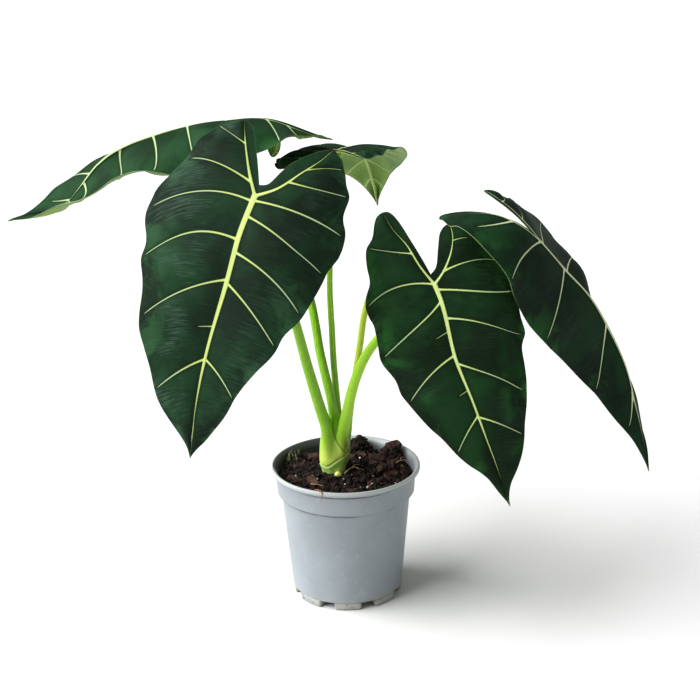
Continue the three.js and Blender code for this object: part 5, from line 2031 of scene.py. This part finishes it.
LEAVES: dict[str, LeafForm] = {
    "front_left": LeafForm(
        midrib=[(-61, -80, 353), (-72, -97, 329), (-82, -108, 296), (-97, -113.8, 249), (-107, -113.8, 207),
                (-114, -110, 163)],
        facing=(-0.25, -1, 0.55), half_width=80,
        left=HalfForm(
            Rim.POINTED_LOBE, [[-0.3, 0, -30], [0, 5, -40], [0.6, 8, -25], [1, 5, -10]],
            bend=-40, turn=0.1, basal=((-0.05, 0.18), (-0.135, 0.295), (-0.225, 0.372)),
            veins=(Vein(-0.541, -0.244, -0.05, 0.53, 0.8), Vein(-0.338, -0.124, -0.005, 0.48),
                   Vein(0.018, 0.031, -0.015, 0.57), Vein(0.079, 0.224, 0.04, 0.53),
                   Vein(0.213, 0.361, 0.041, 0.54), Vein(0.323, 0.487, 0.059, 0.54),
                   Vein(0.606, 0.722, 0.029, 0.56)),
            ripple=((0, 0), (0.08, 1.2), (0.12, 0.9), (0.16, -0.5), (0.2, -1.6), (0.25, 0), (0.32, 0.7),
                    (0.36, 1.1), (0.44, -0.4), (0.52, -0.5), (0.6, -2), (0.68, -2.4), (0.72, -1.6),
                    (0.76, 0.5), (0.8, 1.8), (0.87, 2), (0.92, 2.2), (0.96, 1))),
        right=HalfForm(
            Rim.BROAD_LOBE, [[-0.3, 5, -15], [0, 5, -10], [0.6, 8, -10], [1, 5, -10]],
            bend=-30.1, basal=((-0.075, 0.125), (-0.15, 0.235), (-0.225, 0.335)),
            veins=(Vein(-0.634, -0.248, -0.033, 0.62, 0.6), Vein(-0.159, -0.066, -0.067, 0.75, 1.0, 0.84),
                   Vein(0.022, 0.153, -0.032, 0.58), Vein(0.17, 0.337, -0.035, 0.65),
                   Vein(0.312, 0.549, 0.057, 0.55), Vein(0.484, 0.63, 0.037, 0.59, 0.5, 0.2),
                   Vein(0.606, 0.776, 0.054, 0.48)),
            ripple=((0, 0), (0.08, 0.9), (0.12, -0.9), (0.2, -0.9), (0.28, -1.2), (0.32, -0.2), (0.4, 0.6),
                    (0.48, 0.2), (0.52, 1.2), (0.56, 2.1), (0.64, 2.5), (0.7, 1.9), (0.8, 2.9), (0.84, 2.3),
                    (0.88, 1.6), (0.92, 0.9))),
        stalk=[(-13, -5, 126), (-15, -7, 145), (-19, -9, 160), (-29, -18, 203), (-36, -28, 238),
               (-44, -40, 271), (-52, -55, 312)],
        stalk_base=5.2, stalk_top=2.8,
        velvet=VelvetBlade("velvet_front_left", painted_sheen_share=0.95, painted_sheen_low=0.40, haze_right=0.4,
                           bright=(0.018, 0.058, 0.022))),
    "front_right": LeafForm(
        midrib=[(68, -72, 282), (74, -80, 266), (82, -93, 232), (95, -101, 199), (107, -105, 165),
                (123, -104, 117)],
        facing=(0.15, -1, 0.45), half_width=60,
        left=HalfForm(
            Rim.SHORT_LOBE, [[-0.3, 0, -10], [0, 5, -20], [0.6, 8, -20], [1, 5, -10]],
            bend=-40, basal=((-0.038, 0.16), (-0.101, 0.33), (-0.17, 0.44)),
            veins=(Vein(-0.699, -0.094, 0.002, 0.57, 0.5, 0.4), Vein(-0.223, -0.012, -0.024, 0.6),
                   Vein(0.023, 0.107, 0.08, 0.59), Vein(0.147, 0.318, 0.037, 0.54),
                   Vein(0.336, 0.56, 0.087, 0.48), Vein(0.576, 0.731, 0.049, 0.47)),
            ripple=((0, 0.4), (0.08, 0.9), (0.16, 0.4), (0.2, 1.2), (0.26, 2), (0.32, 1.4), (0.38, 0.5),
                    (0.46, 1.2), (0.56, 1.1), (0.62, 1.8), (0.68, 2.5), (0.74, 3.6), (0.8, 3.8), (0.84, 3.4),
                    (0.88, 3), (0.92, 2), (0.96, 0.4))),
        right=HalfForm(
            Rim.NARROW_LOBE, [[-0.3, -5, -30], [0, 5, -25], [0.6, 8, -25], [1, 5, -10]],
            bend=-10, basal=((-0.089, 0.095), (-0.187, 0.147), (-0.275, 0.238)),
            veins=(Vein(-0.415, -0.244, -0.036, 0.5, 0.8), Vein(0.0, 0.006, -0.081, 0.57),
                   Vein(0.073, 0.254, 0.102, 0.45), Vein(0.202, 0.316, 0.048, 0.6, 0.36, 0.2),
                   Vein(0.303, 0.411, 0.032, 0.54), Vein(0.457, 0.55, 0.0, 0.55, 0.4, 0.22),
                   Vein(0.57, 0.69, 0.045, 0.56)),
            ripple=((0.2, 0), (0.28, 1.8), (0.32, 1.6), (0.36, 2.3), (0.4, 0.7), (0.44, 0), (0.55, -0.4),
                    (0.6, -1.4), (0.64, -1.1), (0.7, -0.2), (0.76, 0.2), (0.8, -1.1), (0.84, -1.6),
                    (0.88, -0.9), (0.92, 0))),
        stalk=[(1, 4, 126), (4, 5, 149), (7, 5, 171), (11, 3, 195), (14, 0, 216), (17, -5, 238),
               (25, -16, 264), (38, -32, 280), (53, -47, 283)],
        stalk_base=2.9, stalk_top=2.3, rib_width=0.8, lateral_width=0.9,
        skin=WaxySkin("yellow_skin", painted_lit_green=(0.42, 0.55, 0.03), strand=(0.50, 0.62, 0.05), flecks=0.3),
        # Its vein colours are painted brighter than the other leaves', standing in for the light this blade's
        # veins catch.
        velvet=VelvetBlade("velvet_front_right", painted_sheen_share=0.3, dark=(0.004, 0.0115, 0.0042),
                           green=(0.0065, 0.031, 0.0078), bright=(0.0125, 0.07, 0.012),
                           vein=(0.55, 0.66, 0.24), vein_end=(0.36, 0.46, 0.29))),
    "right": LeafForm(
        midrib=[(148, -42, 305), (168, -34, 280), (193, -25, 249), (218, -18, 199), (230, -18, 155),
                (240.8, -22, 108)],
        facing=(0.45, -0.75, 0.65), half_width=62,
        left=HalfForm(
            Rim.COMMON, [[-0.3, -27, -78], [0, -37, -43], [0.12, -37, -39], [0.25, -20, -62],
                         [0.38, -72, -42], [0.6, -50, -70], [1, -40, -60]],
            reach=0.8, bend=-54, turn=-0.18,
            ripple=((0.1, 0), (0.24, -2.8), (0.28, -2), (0.34, 1.2), (0.38, 1.6), (0.44, 1.6), (0.5, 1),
                    (0.56, 0.2), (0.6, 1.2), (0.64, 2), (0.68, 0.7), (0.72, 0), (0.8, 1.6), (0.86, 2),
                    (0.92, 1.4))),
        right=HalfForm(
            Rim.COMMON, [[-0.3, 7, 42], [0, 19, -29], [0.3, -2, -19], [0.6, -18, -15], [1, 5, -10]],
            reach=1.09, bend=-69, basal=((-0.085, 0.071), (-0.172, 0.138), (-0.25, 0.277)),
            veins=(Vein(-0.367, -0.243, -0.052, 0.5, 1.0, 0.72), Vein(0.004, -0.051, -0.086, 0.5),
                   Vein(0.143, 0.222, 0.033, 0.54), Vein(0.418, 0.639, 0.073, 0.5),
                   Vein(0.697, 0.825, 0.109, 0.35, 0.9, 0.78))),
        stalk=[(-3, -5, 126), (-1, -9, 145), (2, -11, 159), (7, -14, 181), (15, -16, 203), (25, -17, 219),
               (44, -20, 238), (75, -24, 261), (106, -27, 281), (128, -31, 294)],
        stalk_base=5.4, stalk_top=2.6, rib_width=0.55,
        velvet=VelvetBlade("velvet_right", painted_sheen_share=0.25, vein=(0.56, 0.62, 0.38),
                           vein_end=(0.50, 0.58, 0.37))),
    "left": LeafForm(
        midrib=[(-78, 62, 378.6), (-117, 55, 375.7), (-164, 42, 364.7), (-188, 35, 351.1), (-219, 30, 318),
                (-260.8, 28, 309)],
        facing=(0, 0, 1), half_width=62,
        left=HalfForm(
            Rim.COMMON, [[-0.3, -82, 114], [0, 15.4, -66.5], [0.3, -13, -43.3], [0.55, -66, 99],
                         [0.7, -41, 140], [0.85, -14, 345], [1, 4, 80]],
            reach=1.09, bend=-8.4, turn=0.04,
            veins=(Vein(-0.5, -0.2, -0.03, 0.5), Vein(-0.28, -0.11, -0.02, 0.5), Vein(0.05, 0.09),
                   Vein(0.203, 0.241, 0.02, 0.57), Vein(0.338, 0.408, 0.008, 0.54),
                   Vein(0.471, 0.555, 0.056, 0.53), Vein(0.66, 0.73, 0.02, 0.54, 1.1),
                   Vein(0.75, 0.86, 0.0, 0.54, 0.9, 0.8))),
        right=HalfForm(
            Rim.BROAD_LOBE, [[-0.3, -20, -39], [0, -50, -44], [0.4, -47.4, -37.7], [0.58, -1, -26],
                             [0.75, 38.6, -32], [0.9, 28.3, 116.5], [1, 28.3, 116.5]],
            bend=-144, turn=-0.3,
            veins=(Vein(-0.68, -0.25), Vein(-0.33, -0.12), Vein(0.02, 0.09), Vein(0.2, 0.3), Vein(0.4, 0.5),
                   Vein(0.62, 0.7), Vein(0.745, 0.86, 0.03, 0.5, 0.9, 0.75))),
        stalk=[(-9, 1, 126), (-9, 1, 150), (-11, 2, 166), (-15, 4, 185), (-19, 8, 204), (-25, 17, 241),
               (-36, 27, 272), (-52, 38, 302), (-71, 50, 331)],
        stalk_base=4, stalk_top=2.8, rib_width=0.62, lateral_width=1.05,
        velvet=VelvetBlade("velvet_left", painted_sheen_share=0.2, dark=(0.006, 0.021, 0.0075),
                           green=(0.011, 0.046, 0.015), vein=(0.42, 0.50, 0.26),
                           vein_end=(0.44, 0.53, 0.36))),
    "rear": LeafForm(
        midrib=[(-2, 60, 353), (8, 95, 347), (18, 125, 336), (24, 141, 319), (28, 147.8, 301),
                (31, 151.1, 283)],
        facing=(0.1, 0.6, 0.8), half_width=54,
        left=HalfForm(
            Rim.COMMON, [[-0.3, 4.6, -12.3], [0, 7.5, -29.3], [0.3, 0.3, -5.4], [0.6, -20, 9.4], [1, 5, -10]],
            reach=0.95, bend=-36.9, turn=0.34),
        right=HalfForm(
            Rim.COMMON, [[-0.3, 1, -8], [0, 0, 1], [0.3, -8, -10], [0.6, -15, -40], [1, 5, -10]],
            reach=0.98, bend=-11, turn=0.29),
        stalk=[(-5, 6, 126), (-5, 8, 149), (-6, 9, 162), (-8, 12, 192), (-9, 17, 221), (-10, 23, 249),
               (-9, 30, 280), (-7, 40, 312)],
        stalk_base=3.2, stalk_top=2, rib_width=0.55, lateral_width=0.75, quilting=4.2,
        velvet=VelvetBlade("velvet_rear", painted_sheen_share=0.3)),
}


def keep(pieces: list[Piece], slot: Slot, node: str) -> None:
    """Hand a sub-assembly over: its pieces ride on the root body, and the CAD node in whose place they stand
    is hidden.

    Args:
        pieces: The finished pieces.
        slot: The record's slot that their finish belongs to; it is not used.
        node: Name of the CAD node, which is hidden.
    """
    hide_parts(node)
    for piece in pieces:
        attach(piece, "root")
        piece.data.calc_loop_triangles()
        LOG.info("%s: %d triangles", piece.name, len(piece.data.loop_triangles))


def main() -> None:
    """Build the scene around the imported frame: studio, pot, soil, stem base, stalks and blades."""
    logging.basicConfig(level=logging.INFO, format="%(message)s")
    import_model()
    noise.seed_set(SEED)
    wardrobe = Wardrobe()
    Studio().build(wardrobe)
    stubs = [Stalk(f"stub_{name}", form) for name, form in LEAVES.items()]
    parts = [
        (NurseryPot(), Slot.POT, "pot"),
        (SoilBed(np.random.default_rng(SEED)), Slot.SOIL, "soil"),
        (StemBase(stubs), Slot.STEM, "stem_base"),
        *((Stalk(f"stalk_{name}", form), Slot.STEM, f"petiole_{name}") for name, form in LEAVES.items()),
        *((Blade(f"leaf_{name}", form), Slot.BLADE, f"blade_{name}") for name, form in LEAVES.items())]
    for part, slot, node in parts:
        pieces = part.build()
        part.dress(pieces, wardrobe)
        keep(pieces, slot, node)
    deselect_all()
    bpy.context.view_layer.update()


if __name__ == "__main__":
    main()
